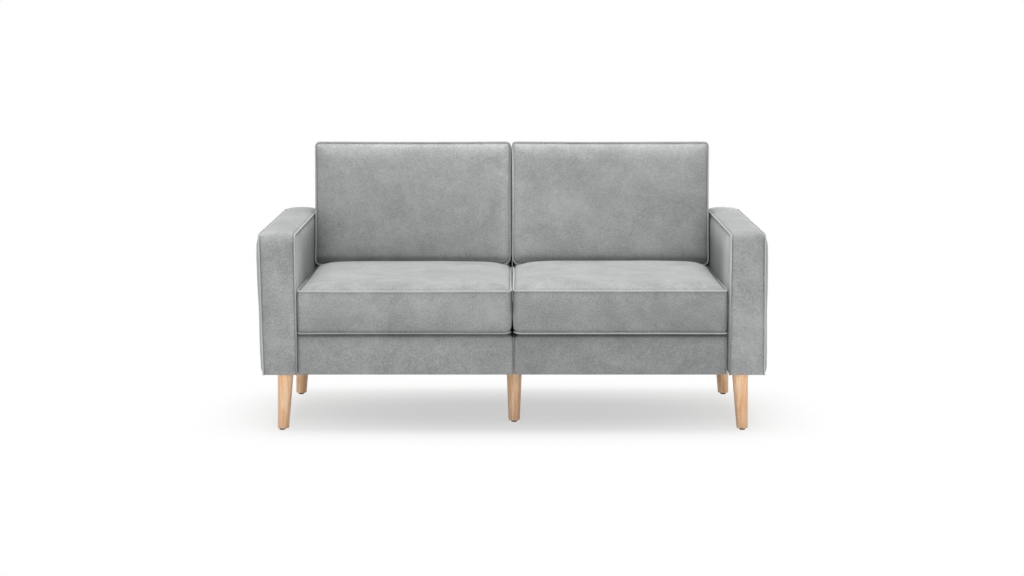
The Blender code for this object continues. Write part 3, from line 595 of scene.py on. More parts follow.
# %% A box cushion
def box_cushion(name, size, corners, roll, dome, swell_by, groove, rest_rise, seam_shade_share, seed):
    """A stuffed box cushion, its rest panel at height 0; made about its own lowest corner.

    The top panel rises by roll close to its seam, and by dome toward the middle. The seam of
    the rest panel lies rest_rise above it."""
    width, length, height = size
    pad = gridded_block(name, (0, 0, 0), (width, length, height))
    spots = points_of(pad)
    a, b, c = spots.T
    wall = near(a, 0) | near(a, width) | near(b, 0) | near(b, length)
    top, rest = near(c, height), near(c, 0)
    mark(pad, "seam_top", wall & top)
    mark(pad, "seam_rest", wall & rest)
    mark(pad, "held", wall & top | rest)

    share_a, share_b, share_c = a / width, b / length, c / height
    from_edge = np.minimum(np.minimum(a, width - a), np.minimum(b, length - b))
    # painted shade along the seams: on the boxing beside both seams, and on the panels along their edges
    wall_seam_shade = crease_by(height - c) + REST_SEAM_SHADE * crease_by(c - rest_rise)
    tone_points(pad, "painted_shade", seam_shade_share * np.where(wall, wall_seam_shade, crease_by(from_edge)))

    round_a, round_b = round_corners(a, b, (0, 0), (width, length), corners)
    out = outward(round_a, round_b, (0, 0), (width, length), corners)
    swell = np.where(wall, swell_by * bump_between(share_c, 0.6), 0)
    swell -= np.where(wall & (top | rest), groove * GROOVE_SHARE, 0)
    round_a = round_a + out[:, 0] * swell
    round_b = round_b + out[:, 1] * swell
    round_a -= (round_a - width / 2) / width * 2 * DRAW_IN * np.sin(np.pi * share_b)
    round_b -= (round_b - length / 2) / length * 2 * DRAW_IN * np.sin(np.pi * share_a)

    fullness = bump_between(share_a, 0.5) * bump_between(share_b, 0.5)
    crown = roll * rise_from(from_edge, CROWN_ROLL) + dome * fullness
    round_c = c + np.where(top, crown, 0)
    round_c -= np.where(wall & top, groove * GROOVE_SHARE, 0)
    rest_edge = np.where(rest, rest_rise * (1 - rise_from(from_edge, REST_ROLL)), 0)
    round_c += np.where(wall, rest_rise * (1 - share_c), rest_edge)
    round_c += drift(spots, SEAM_WAVE_LENGTH, SEAM_WAVE, seed) * share_c
    round_c += drift(spots, PANEL_WAVE_LENGTH, PANEL_WAVE, seed + PANEL_SEED) * np.where(top, fullness, 0)
    set_points(pad, np.stack([round_a, round_b, round_c], axis=1))
    return pad


# %% [markdown]
# ## Seat cushions
#
# They fill the space between the arms and press together at the middle. The top is crowned
# about 23 mm and rises steeply from the piping. Under the back cushion the foam is pressed
# flat again. At the front, the two inner corners lift a little off the bases.

# %% Sizes of the seat cushions
SIDES = {"left": -1, "right": 1}
SEAT_INNER = {"left": 0.0040, "right": 0.0038}
SEAT_OUTER = {"left": 0.6492, "right": 0.6484}
SEAT_FRONT = -0.4165
SEAT_REAR = 0.3195
SEAT_HEIGHT = {"left": 0.1318, "right": 0.1336}
SEAT_RISE = 0.0060
SEAT_CORNERS = {"outer": 0.0075, "inner": 0.018, "rear": 0.018}
SEAT_ROLL = 0.0155
SEAT_DOME = 0.0075
SEAT_SWELL = 0.0022
SEAT_GROOVE = 0.0036
SEAT_MEETING = 0.0005  # the two cushions press together here, just right of the middle
# lifted by itself, the left one passes the right back cushion, so its hidden rear stops short
SEAT_REAR_LIMIT = ((0.200, SEAT_MEETING), (0.235, -0.0036))
SEAT_CLEARANCE = 0.0006

seat_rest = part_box("seat_base_cover_left")[1].z + SEAT_CLEARANCE
print("seat cushions rest at", round(seat_rest, 4), "m")

# %% Where the back cushions press
BACK_BOTTOM = 0.4428  # the back cushions stand on the rear of the seat, pressed in to this height
PRESS_START = 0.160
PRESS_END = 0.176
PRESS_CLEARANCE = 0.0005
ABOVE_ANY_CROWN = 0.1


def press_top(pad):
    """The back cushion's weight flattens the rear of the crown."""
    spots = points_of(pad)
    share = np.clip((spots[:, 1] + SEAT_FRONT - PRESS_START) / (PRESS_END - PRESS_START), 0, 1)
    free = (1 - share * share * (3 - 2 * share)) * ABOVE_ANY_CROWN
    ceiling = BACK_BOTTOM + PRESS_CLEARANCE - seat_rest + free
    spots[:, 2] = np.clip(spots[:, 2], 0, ceiling)
    set_points(pad, spots)


# %% Corners of the seat cushions
CORNER_RISE = 0.0022
CORNER_DRAW = 0.0022
CORNER_REACH = 0.012
CORNER_LENGTH = 0.120
CORNER_FADE = 0.060
CORNER_HEIGHT = 0.05
HOLE_REACH = 0.006  # the hole is the small dark one where all four cushions meet
HOLE_START = 0.590
HOLE_FADE = 0.02
HOLE_HEIGHT = 0.040
REAR_DRAW = 0.0045  # the outer side leaves the arm a little towards the rear
REAR_STRIP = 0.045
REAR_START = 0.04
REAR_FADE = 0.30


def seat_corners(from_middle, b, c, height):
    """How far a point belongs to the inner front edge, to its foot, and to the top by the hole."""
    front_edge = crease_by(from_middle, CORNER_REACH) * np.clip((CORNER_LENGTH - b) / CORNER_FADE, 0, 1)
    low_corner = front_edge * crease_by(c - SEAT_RISE, HOLE_REACH)
    toward_hole = np.clip((b - HOLE_START) / HOLE_FADE, 0, 1) * (c > height - HOLE_HEIGHT)
    return front_edge, low_corner, crease_by(from_middle, HOLE_REACH) * toward_hole


def shape_seat_corners(pad, side, from_middle, front_edge, low_corner, hole_corner):
    """Lifts the front corners by the middle, and draws in the outer side toward the rear."""
    spots = points_of(pad)
    width = SEAT_OUTER[side] - SEAT_INNER[side]
    strip = np.clip(1 - (width - from_middle) / REAR_STRIP, 0, 1)
    outer_rear = strip * np.clip((spots[:, 1] - REAR_START) / REAR_FADE, 0, 1)
    spots[:, 0] += SIDES[side] * (CORNER_DRAW * low_corner - REAR_DRAW * outer_rear)
    spots[:, 2] += CORNER_RISE * front_edge * np.clip(1 - spots[:, 2] / CORNER_HEIGHT, 0, 1)
    spots[:, 2] -= CORNER_RISE * hole_corner
    set_points(pad, spots)


# %% [markdown]
# ## Painted light and shade
#
# On this sofa the light leaves the velvet pale along the upper edges, dark down by the seat
# and the arms, and darker still where two cushions press together. That light and shade is
# painted into the velvet's colour. It could be painted as an image, but an image stretches
# over a stuffed shape. So each piece keeps a value per point, read from a short table of
# places and values along it.

# %% Painted light and shade on the seat cushions
# painted shade in the holes between cushions
DEEP_SHADE = 4.4  # next to black, for the holes between cushions
FRONT_DEPTH = 0.006
SEAM_BAND = 0.004
TOP_BAND = 0.005
SIDE_FRONT_REACH = 0.0035
SIDE_FRONT_DEPTH = 0.030
SIDE_FRONT_SHADE = 1.2
# a negative painted shade, which paints light along the left cushion's inner top edge
LEFT_INNER_LIGHT = -0.5
# painted light and shade on the seat cushions: on the tops by depth, on the fronts by height
SEAT_TOP_SHADING = {
    "left": ((0.0, 0.0), (0.05, -0.15), (0.25, -0.12), (0.6, -0.10)),
    "right": ((0.0, 0.05), (0.05, -0.12), (0.25, 0.0), (0.6, 0.08))}
SEAT_FRONT_SHADING = {
    "left": ((0.0, -1.1), (0.2, -0.95), (0.6, -0.52), (0.85, -0.42), (1.0, 0.0)),
    "right": ((0.0, -1.25), (0.3, -1.15), (0.6, -1.0), (0.85, -0.80), (1.0, -0.35))}


def tone_seat(pad, side, from_middle, low_corner, hole_corner):
    """Painted light and shade on the front and the top, and painted shade beside the middle."""
    b, c = points_of(pad).T[1:]
    height = SEAT_HEIGHT[side]
    front_shading = along_table(c / height, SEAT_FRONT_SHADING[side])
    top_shading = along_table(b, SEAT_TOP_SHADING[side]) * (c > height - TOP_BAND)
    on_front = (b < FRONT_DEPTH) & (c < height - SEAM_BAND)
    tone_points(pad, "painted_shading", np.where(on_front, front_shading, top_shading))
    side_front_shade = crease_by(from_middle, SIDE_FRONT_REACH) * (b < SIDE_FRONT_DEPTH) * (c > height / 2)
    lighter = LEFT_INNER_LIGHT * (side == "left") * crease_by(from_middle) * (c > height - SEAM_BAND)
    tone_points(pad, "painted_shade", SIDE_FRONT_SHADE * side_front_shade + lighter)
    # painted shade next to black, by the inner front foot and at the top by the hole
    tone_points(pad, "painted_shade", DEEP_SHADE * (low_corner * (b > FRONT_DEPTH) + hole_corner))


# %% Seat cushion
def seat_cushion(side, seed):
    width, height = SEAT_OUTER[side] - SEAT_INNER[side], SEAT_HEIGHT[side]
    fronts = [SEAT_CORNERS["outer"], SEAT_CORNERS["inner"]][::-SIDES[side]]
    corners = (fronts[0], SEAT_CORNERS["rear"], fronts[1], SEAT_CORNERS["rear"])
    pad = box_cushion("seat_cushion_soft_" + side, (width, SEAT_REAR - SEAT_FRONT, height), corners,
                      SEAT_ROLL, SEAT_DOME, SEAT_SWELL, SEAT_GROOVE, SEAT_RISE, 1.0, seed)
    a, b, c = points_of(pad).T
    from_middle = width - a if side == "left" else a
    front_edge, low_corner, hole_corner = seat_corners(from_middle, b, c, height)
    tone_seat(pad, side, from_middle, low_corner, hole_corner)
    shape_seat_corners(pad, side, from_middle, front_edge, low_corner, hole_corner)
    stuff(pad, CUSHION_REACH)
    press_top(pad)
    low = SEAT_INNER["right"] if side == "right" else -SEAT_OUTER["left"]
    set_points(pad, points_of(pad) + (low, SEAT_FRONT, seat_rest))
    keep_to_side(pad, side, SEAT_MEETING)
    if side == "left":
        spots = points_of(pad)
        spots[:, 0] = np.minimum(spots[:, 0], along_table(spots[:, 1], SEAT_REAR_LIMIT))
        set_points(pad, spots)
    subdivide_once(pad)
    return pad


# %% Where the velvet copy that paints deep shade goes
BY_MIDDLE = 0.014
BY_ARM = 0.632
TOUCHING = 0.0045
SIDEWAYS = 0.6
HOLE_FROM = 0.17
HOLE_TO_HEIGHT = 0.47
CORD_SHADED_FROM = {"top": 0.175, "bottom": -0.40}
CORD_BY_ARM_FROM = -0.15


def beside_middle(at):
    return np.abs(at[0]) < BY_MIDDLE


def beside_arm(at):
    return np.abs(at[0]) > BY_ARM


def by_a_neighbour(at, to):
    """The sides that touch the next module."""
    return (np.abs(at[0]) < TOUCHING) & (np.abs(to[0]) > SIDEWAYS)


def deep_shade_on_seat(at, to):
    """The same on a seat cushion, with its corner in the hole between all four."""
    return (np.abs(at[0]) < TOUCHING) & ((at[1] > HOLE_FROM) | (np.abs(to[0]) > SIDEWAYS))


def deep_shade_on_back(at, to):
    """The inner foot of a back cushion, in the same hole."""
    return (np.abs(at[0]) < TOUCHING) & (at[2] < HOLE_TO_HEIGHT)


def deep_shade_on_cord(end):
    """The stretches of a seat cushion's cord that run in between two pieces."""
    start = CORD_SHADED_FROM[end]
    return lambda at, to: (beside_middle(at) & (at[1] > start)
                           | beside_arm(at) & (at[1] > CORD_BY_ARM_FROM))


# %% Painted light and shade along the piping
INNER_RUN = (X, -BY_MIDDLE, BY_MIDDLE)
OUTER_RUN = {"left": (X, -0.70, -BY_ARM), "right": (X, BY_ARM, 0.70)}
FRONT_RUN = (Y, -0.50, -0.405)
# painted shade: next to black in the hole, darker toward the back and under the seat
HOLE_SHADE = -3.8  # next to black, where the cord runs into the hole between four cushions
SHADE_TOWARD_THE_BACK = ((-0.40, 0.0), (-0.25, -0.9), (-0.10, -1.8), (0.10, -2.6))
SHADE_UNDER_THE_SEAT = ((-0.415, -1.0), (-0.400, HOLE_SHADE))
CORD_SHADING = {
    "seat_top_left": (
        (Y, INNER_RUN, ((-0.41, 0.0), (-0.30, -0.6), (-0.10, -1.2), (0.16, -1.3), (0.18, HOLE_SHADE))),
        (Y, OUTER_RUN["left"], SHADE_TOWARD_THE_BACK)),
    "seat_top_right": (
        (Y, INNER_RUN, ((-0.41, 0.0), (0.16, 0.3), (0.18, HOLE_SHADE))),
        (Y, OUTER_RUN["right"], SHADE_TOWARD_THE_BACK)),
    "seat_bottom_left": (
        (X, FRONT_RUN, ((-0.64, -0.9), (-0.40, -1.4), (-0.03, -1.4), (0.0, -0.8))),
        (Y, INNER_RUN, SHADE_UNDER_THE_SEAT)),
    "seat_bottom_right": (
        (X, FRONT_RUN, ((0.0, -0.8), (0.10, -0.6), (0.64, -0.5))),
        (Y, INNER_RUN, SHADE_UNDER_THE_SEAT)),
    "back_front_left": (
        (Z, INNER_RUN, ((0.46, -1.0), (0.60, -0.5), (0.80, -1.4))),),
    "back_front_right": (
        (Z, INNER_RUN, ((0.46, -0.2), (0.60, 0.3), (0.68, 1.0), (0.76, 1.6), (0.81, 1.2), (0.83, 0.0))),),
}


def paint_cord_shading(cord, ranges):
    """Painted lighter and darker stretches: (axis it runs along, side it lies on, table) for each."""
    spots = points_of(cord)
    painted_shading = np.zeros(len(spots))
    for along, (axis, low, high), table in ranges:
        on_side = (spots[:, axis] > low) & (spots[:, axis] < high)
        painted_shading = np.where(on_side, along_table(spots[:, along], table), painted_shading)
    tone_points(cord, "painted_shading", painted_shading)


# %% Cushions dressed
CORD_REAR_DRAW = ((0.200, 0.0), (0.235, 0.0030))  # as far as the cushion's own side


def draw_cord_in(cord):
    """Keeps the left seat's cords clear of the right back cushion."""
    spots = points_of(cord)
    spots[:, 0] -= beside_middle(spots.T) * along_table(spots[:, 1], CORD_REAR_DRAW)
    set_points(cord, spots)


def dress_cushion(pad, side, kind, ends, lift=PIPING_LIFT):
    """Velvet, piping and its place in the sofa for one cushion."""
    pad.data.materials.append(lit_cushion_velvet)
    cords = {end: piping(kind + "_piping_soft_" + end + "_" + side, pad, seam, lift) for seam, end in ends}
    # faces in the holes and gaps between cushions get the velvet copy that paints deep shade
    second_velvet(pad, deep_shade_velvet, deep_shade_on_seat if kind == "seat" else deep_shade_on_back)
    body = kind + "_cushion_" + side
    stands_for(pad, body, body)
    for end, cord in cords.items():
        paint_cord_shading(cord, CORD_SHADING.get(kind + "_" + end + "_" + side, ()))
        if kind == "seat" and side == "left":
            draw_cord_in(cord)
        if kind == "seat":
            # so do the cords' stretches that run between two pieces
            second_velvet(cord, deep_shade_velvet, deep_shade_on_cord(end))
        stands_for(cord, kind + "_piping_" + end + "_" + side, body)


for side, seed in (("left", 1), ("right", 2)):
    dress_cushion(seat_cushion(side, seed), side, "seat", (("seam_top", "top"), ("seam_rest", "bottom")))


# %% [markdown]
# ## Back cushions
#
# They stand on the seat cushions, lean on the backs by 7 degrees, and meet a little left of
# the middle. The bottom settles level on the seat, while the top stays square to the lean,
# so only the front piping shows above.

# %% Sizes of the back cushions
BACK_SPANS = {"left": (-0.6486, -0.0076), "right": (0.0022, 0.6464)}
BACK_MEETING = -0.0027
BACK_LENGTH = 0.4010
BACK_THICKNESS = 0.1350
BACK_CORNER = 0.0165
BACK_FOOT_CORNER = 0.0260
BACK_TOP_INNER = {"left": 0.0165, "right": 0.0105}
BACK_ROLL = 0.0140
BACK_DOME = 0.0085
BACK_SWELL = 0.0030
BACK_PRESS = 0.0042
BACK_INNER_SIDE = 0.985
BACK_GROOVE = 0.0026
# share of the painted seam shade on the back cushions
BACK_SEAM_SHADE = 0.4
BACK_PIPING_LIFT = 0.0030
BACK_CLEARANCE = 0.0008
BACK_LEAN = math.tan(math.radians(7))

back_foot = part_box("back_cover_left")[0].y
base_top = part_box("seat_base_cover_left")[1].z
print("the backs stand at", round(back_foot, 4), "m, on bases", round(base_top, 4), "m high")


def lean_on_back(pad, low_x):
    """Sets a cushion upright against the leaning back."""
    a, b, c = points_of(pad).T
    c = np.maximum(c, 0)
    b = np.maximum(b, 0)
    z = BACK_BOTTOM + b * (1 - (BACK_THICKNESS - c) * BACK_LEAN / BACK_LENGTH)
    y = back_foot + (z - base_top) * BACK_LEAN - BACK_CLEARANCE - c
    set_points(pad, np.stack([low_x + a, y, z], axis=1))


# %% Painted light and shade on the back cushions
FOOT_STRIP = 0.94
FOOT_REACH = 0.030
# painted light along the top, painted shade down to the foot
SHADING_UP_THE_BACK = {
    "left": ((0.05, -1.9), (0.06, -1.5), (0.075, -0.78), (0.09, -0.48), (0.12, -0.42), (0.17, -0.40),
             (0.255, -0.30), (0.38, -0.17), (0.50, -0.06), (0.62, 0.0), (0.80, 0.05), (0.86, 0.15),
             (0.92, 0.50), (0.965, 1.1), (0.985, 1.7), (1.0, 1.7)),
    "right": ((0.05, -1.8), (0.06, -1.4), (0.075, -0.65), (0.09, -0.20), (0.13, 0.10), (0.22, 0.10),
              (0.35, 0.03), (0.60, -0.04), (0.80, -0.05), (0.86, 0.08), (0.92, 0.50), (0.965, 1.0),
              (0.985, 1.7), (1.0, 1.7))}
# painted shade toward the outer side, painted light toward the middle
SHADING_TO_THE_MIDDLE = (
    (-0.04, -0.45), (0.03, -0.35), (0.12, -0.05), (0.5, 0.0), (0.88, 0.15), (0.94, 0.45), (0.97, 0.9),
    (1.0, 1.0))


def tone_back(pad, side, inward):
    """Painted light along the top and toward the middle, painted shade down to the foot and toward the
    outer side, and painted shade next to black at the inner foot.
    """
    b, c = points_of(pad).T[1:]
    inner_foot_shade = (inward > FOOT_STRIP) * crease_by(b, FOOT_REACH) * (c < BACK_THICKNESS - SEAM_BAND)
    tone_points(pad, "painted_shade", DEEP_SHADE * inner_foot_shade)
    painted_shading = along_table(b / BACK_LENGTH, SHADING_UP_THE_BACK[side]) + along_table(inward, SHADING_TO_THE_MIDDLE)
    tone_points(pad, "painted_shading", np.where(c > BACK_THICKNESS / 2, painted_shading, 0.0))


# %% Back cushions
def back_cushion(side, seed):
    low, high = BACK_SPANS[side]
    feet = [BACK_CORNER, BACK_FOOT_CORNER][::-SIDES[side]]
    tops = [BACK_CORNER, BACK_TOP_INNER[side]][::-SIDES[side]]
    corners = (feet[0], tops[0], feet[1], tops[1])
    pad = box_cushion("back_cushion_soft_" + side, (high - low, BACK_LENGTH, BACK_THICKNESS), corners,
                      BACK_ROLL, BACK_DOME, BACK_SWELL, BACK_GROOVE, 0, BACK_SEAM_SHADE, seed)
    spots = points_of(pad)
    a, b, c = spots.T
    inward = a / (high - low) if side == "left" else 1 - a / (high - low)
    pressed = BACK_PRESS * (inward > BACK_INNER_SIDE)
    pressed = pressed * bump_between(c / BACK_THICKNESS, 0.45) * bump_between(b / BACK_LENGTH, 0.2)
    spots[:, 0] -= SIDES[side] * pressed
    set_points(pad, spots)
    tone_back(pad, side, inward)
    stuff(pad, CUSHION_REACH)
    lean_on_back(pad, low)
    keep_to_side(pad, side, BACK_MEETING)
    subdivide_once(pad)
    return pad


for side, seed in (("left", 3), ("right", 4)):
    dress_cushion(back_cushion(side, seed), side, "back", (("seam_top", "front"), ("seam_rest", "rear")),
                  BACK_PIPING_LIFT)


# %% [markdown]
# ## Arms
#
# An arm is a padded box: one velvet band runs up the front, over the top and down the rear,
# and a panel closes each side, with piping in both seams. The outer panel is the fuller one.
# It starts as a block too, with its two upper corners drawn round, and the cloth solver
# presses the panels out between the held seams.

# %% Sizes of the arms
ARM_INNER_SEAM = {"left": 0.6556, "right": 0.6585}
ARM_OUTER_SEAM = 0.7610
ARM_FRONT = 0.4220
ARM_TOP = 0.6080
ARM_FOOT = 0.1808
ARM_CORNERS = (0, 0.018, 0, 0.028)
ARM_TOP_CROWN = 0.0085
ARM_FRONT_CROWN = 0.0028
ARM_OUTER_SWELL = 0.0115
ARM_INNER_SWELL = 0.0045
ARM_INNER_LIMIT = 0.6527
ARM_SIDE_RISE = 0.036
ARM_WAVE = 0.0012
ARM_WAVE_LENGTH = 0.14
ARM_LEAN = {
    "left": ((0.20, -0.0062), (0.38, -0.0022), (0.60, 0.0020)),
    "right": ((0.20, 0.0028), (0.38, 0.0022), (0.60, 0.0))}
ARM_INNER_LEAN = {
    "left": ((0.20, -0.0018), (0.40, -0.0008), (0.50, 0.0)),
    "right": ((0.20, 0.0), (0.50, 0.0))}


# %% Painted light and shade on the arms
# painted shade beside the arms' seams
ARM_SEAM_SHADE = 0.45
ARM_SEAM_LINE = 0.001
FACES_INWARD = 0.8
# painted light and shade: on the front by height, darker toward the outer edge, on the top by depth
ARM_FRONT_SHADING = {
    "left": ((0.18, -0.6), (0.28, -0.35), (0.35, -0.12), (0.50, -0.18), (0.57, -0.46), (0.60, 0.5)),
    "right": ((0.18, 0.2), (0.28, 0.1), (0.35, 0.0), (0.50, -0.12), (0.58, -0.25), (0.60, 0.0))}
ARM_EDGE_SHADING = ((0.0, 0.0), (0.75, 0.0), (0.92, -0.2), (1.0, -0.25))
ARM_TOP_SHADING = {
    "left": ((-0.42, 0.6), (-0.36, 0.0)),
    "right": ((-0.40, 0.1), (0.10, 0.1), (0.38, 0.9))}
# painted shade on the inner panel, deepening toward the back cushion, with painted light at its front and
# top
ARM_INNER_SHADING = (
    (-0.36, 1.6), (-0.29, 0.6), (-0.24, -0.3), (-0.20, -1.3), (-0.10, -2.6), (0.0, -2.95), (0.10, -3.25),
    (0.20, -3.5))
ARM_LOW_SHARE = {
    "left": ((0.466, 1.0), (0.498, 0.95), (0.531, 0.86), (0.563, 0.58), (0.595, 0.08)),
    "right": ((0.466, 1.0), (0.498, 0.95), (0.531, 0.82), (0.563, 0.40), (0.595, 0.05))}
ARM_UPPER_LIGHT = {"left": 1.0, "right": 2.2}
ARM_UPPER_END = 0.12
# painted light and shade along the inner cord's front
ARM_CORD_SHADING = {
    "left": ((0.21, -1.8), (0.30, -1.5), (0.40, -1.05), (0.48, -0.3), (0.55, 0.0)),
    "right": ((0.21, -2.0), (0.27, -1.95), (0.30, -1.7), (0.35, -1.0), (0.40, -0.9), (0.47, 0.2),
              (0.52, 0.8), (0.58, 0.7), (0.60, 0.2))}


def tone_arm(cover, side, inner, outer, across):
    """Painted shade beside the seams; painted light and shade on the front, the top and the inner panel,
    whose shade deepens toward the back cushion.
    """
    y, z = points_of(cover).T[1:]
    from_band = np.minimum(ARM_FRONT - np.abs(y), ARM_TOP - z)
    from_side = np.minimum(across, 1 - across) * (ARM_OUTER_SEAM - ARM_INNER_SEAM[side])
    tone_points(cover, "painted_shade", ARM_SEAM_SHADE * crease_by(np.where(inner | outer, from_band, from_side)))
    front_shading = along_table(z, ARM_FRONT_SHADING[side]) + along_table(across, ARM_EDGE_SHADING)
    top_shading = along_table(y, ARM_TOP_SHADING[side])
    painted_shading = np.where(near(y, -ARM_FRONT), front_shading, np.where(near(z, ARM_TOP), top_shading, 0.0))
    low_share = along_table(z, ARM_LOW_SHARE[side])
    inner_shading = along_table(y, ARM_INNER_SHADING) * low_share
    inner_shading += ARM_UPPER_LIGHT[side] * (1 - low_share) * np.clip((ARM_UPPER_END - y) / ARM_UPPER_END, 0, 1)
    tone_points(cover, "painted_shading", np.where(inner & (from_band > ARM_SEAM_LINE), inner_shading, painted_shading))


# %% Shape of an arm
def arm_cover(side, sign, seed):
    inner_seam = ARM_INNER_SEAM[side]
    low_x, high_x = sorted((sign * inner_seam, sign * ARM_OUTER_SEAM))
    cover = gridded_block("arm_cover_soft_" + side, (low_x, -ARM_FRONT, ARM_FOOT),
                          (high_x, ARM_FRONT, ARM_TOP))
    spots = points_of(cover)
    x, y, z = spots.T
    inner, outer = near(x, sign * inner_seam), near(x, sign * ARM_OUTER_SEAM)
    foot = near(z, ARM_FOOT)
    band = near(np.abs(y), ARM_FRONT) | near(z, ARM_TOP)
    seam = (inner | outer) & band
    mark(cover, "seam_inner", inner & band)
    mark(cover, "seam_outer", outer & band)
    mark(cover, "held", seam | foot)
    across = (np.abs(x) - inner_seam) / (ARM_OUTER_SEAM - inner_seam)
    tone_arm(cover, side, inner, outer, across)

    round_y, round_z = round_corners(y, z, (-ARM_FRONT, ARM_FOOT), (ARM_FRONT, ARM_TOP), ARM_CORNERS)
    out = outward(round_y, round_z, (-ARM_FRONT, ARM_FOOT), (ARM_FRONT, ARM_TOP), ARM_CORNERS)
    out *= ~foot[:, None] | band[:, None]
    crown = ARM_FRONT_CROWN + (ARM_TOP_CROWN - ARM_FRONT_CROWN) * np.clip(out[:, 1], 0, 1)
    lift = np.where(band & ~foot, crown * bump_between(across, 0.55), 0)
    groove = SEAM_GROOVE * GROOVE_SHARE
    lift -= np.where(seam, groove, 0)
    round_y = round_y + out[:, 0] * lift
    round_z = round_z + out[:, 1] * lift * ~foot

    side_y = rise_from(ARM_FRONT - np.abs(y), ARM_SIDE_RISE)
    side_z = rise_from(ARM_TOP - z, ARM_SIDE_RISE) * rise_from(z - ARM_FOOT, ARM_SIDE_RISE / 2)
    swell = np.where(outer, ARM_OUTER_SWELL, np.where(inner, -ARM_INNER_SWELL, 0)) * side_y * side_z
    swell += np.where(seam & outer, -groove, 0) + np.where(seam & inner, groove, 0)
    swell += along_table(z, ARM_LEAN[side]) * across + along_table(z, ARM_INNER_LEAN[side]) * (1 - across)
    waves = drift(spots, ARM_WAVE_LENGTH, ARM_WAVE, seed)
    swell += waves * np.where(inner | outer, side_y * side_z, 0)
    set_points(cover, np.stack([x + sign * swell, round_y, round_z], axis=1))
    stuff(cover, ARM_REACH)
    keep_to_side(cover, side, sign * ARM_INNER_LIMIT)
    subdivide_once(cover)
    cover.data.materials.append(cover_velvet)
    # the inner panels get the velvet copy with less sheen, which paints their shade
    second_velvet(cover, shade_velvet, lambda at, to: sign * to[0] < -FACES_INWARD)
    return cover


# %% Arms dressed
ARM_SEED = 10

for side, sign in SIDES.items():
    cover = arm_cover(side, sign, ARM_SEED + sign)
    cords = {end: piping("arm_piping_soft_" + end + "_" + side, cover, "seam_" + end)
             for end in ("inner", "outer")}
    stands_for(cover, "arm_cover_" + side, "frame")
    paint_cord_shading(cords["inner"], ((Z, FRONT_RUN, ARM_CORD_SHADING[side]),))
    for end, cord in cords.items():
        keep_between(cord, Z, ARM_FOOT, 1)
        stands_for(cord, "arm_piping_" + end + "_" + side, "frame")


# %% [markdown]
# ## Seat bases and backs
#
# These modules are upholstered tight over thin foam, so their faces stay nearly flat and
# their edges are soft. A bevel alone would look moulded. So each is a gridded block whose
# corners are drawn round and whose front is crowned by 2 mm, as wadding does.

# %% Sizes of the seat bases
BASE_CORNERS = {"top_inner": 0.009, "top_outer": 0.009, "foot": 0.003}
BASE_ROLL = 0.008
ROLL_TIGHTER_BESIDE = 1.8
ROLL_TIGHTER_BELOW = 2.6
FOOT_BAND = 0.004
FOOT_ROLL_SHARE = 0.4
BASE_CROWN = 0.0022
BASE_WAVE = 0.0009
BASE_WAVE_LENGTH = 0.12
BASE_DEPTH_OF_ROUND = 0.03
BASE_MEETING = 0.0038  # where the photograph shows the two bases meet, right of the middle
MEETING_GAP = 0.0003
MEETING_POWER = 8  # a high power moves only the side by the middle
BASE_SEED = 20

# %% Painted shade on the seat bases
# painted shade over the bases' fronts, more under the cushions and in the seams
BASE_FRONT_SHADE = {"left": -0.62, "right": -0.95}
UNDER_CUSHION_SHADE = -0.6
UNDER_CUSHION_REACH = 0.024
TOP_SEAM_SHADE = 1.5
TOP_SEAM_REACH = 0.006
MEETING_SHADE = 1.1
MEETING_REACH = 0.003
FRONT_HOLE_SIDE = 0.010
FRONT_HOLE_DROP = 0.008
FRONT_HOLE_SHARE = 0.5
DECK_SHADE = 0.8
FACES_UP = 0.7


def tone_base(cover, side, face, under_top, from_middle):
    """Painted shade: over the front, more under the cushion and at the meeting line, next to black where
    the two cross, and on the deck.
    """
    shade = UNDER_CUSHION_SHADE * crease_by(under_top, UNDER_CUSHION_REACH)
    tone_points(cover, "painted_shading", np.where(face, BASE_FRONT_SHADE[side] + shade, 0.0))
    seam = TOP_SEAM_SHADE * crease_by(under_top, TOP_SEAM_REACH)
    seam = seam + MEETING_SHADE * crease_by(from_middle, MEETING_REACH)
    front_hole_shade = DEEP_SHADE * crease_by(from_middle, FRONT_HOLE_SIDE) * crease_by(under_top, FRONT_HOLE_DROP)
    deck_shade = DECK_SHADE * near(under_top, 0)
    tone_points(cover, "painted_shade", np.where(face, seam + FRONT_HOLE_SHARE * front_hole_shade, deck_shade + front_hole_shade))


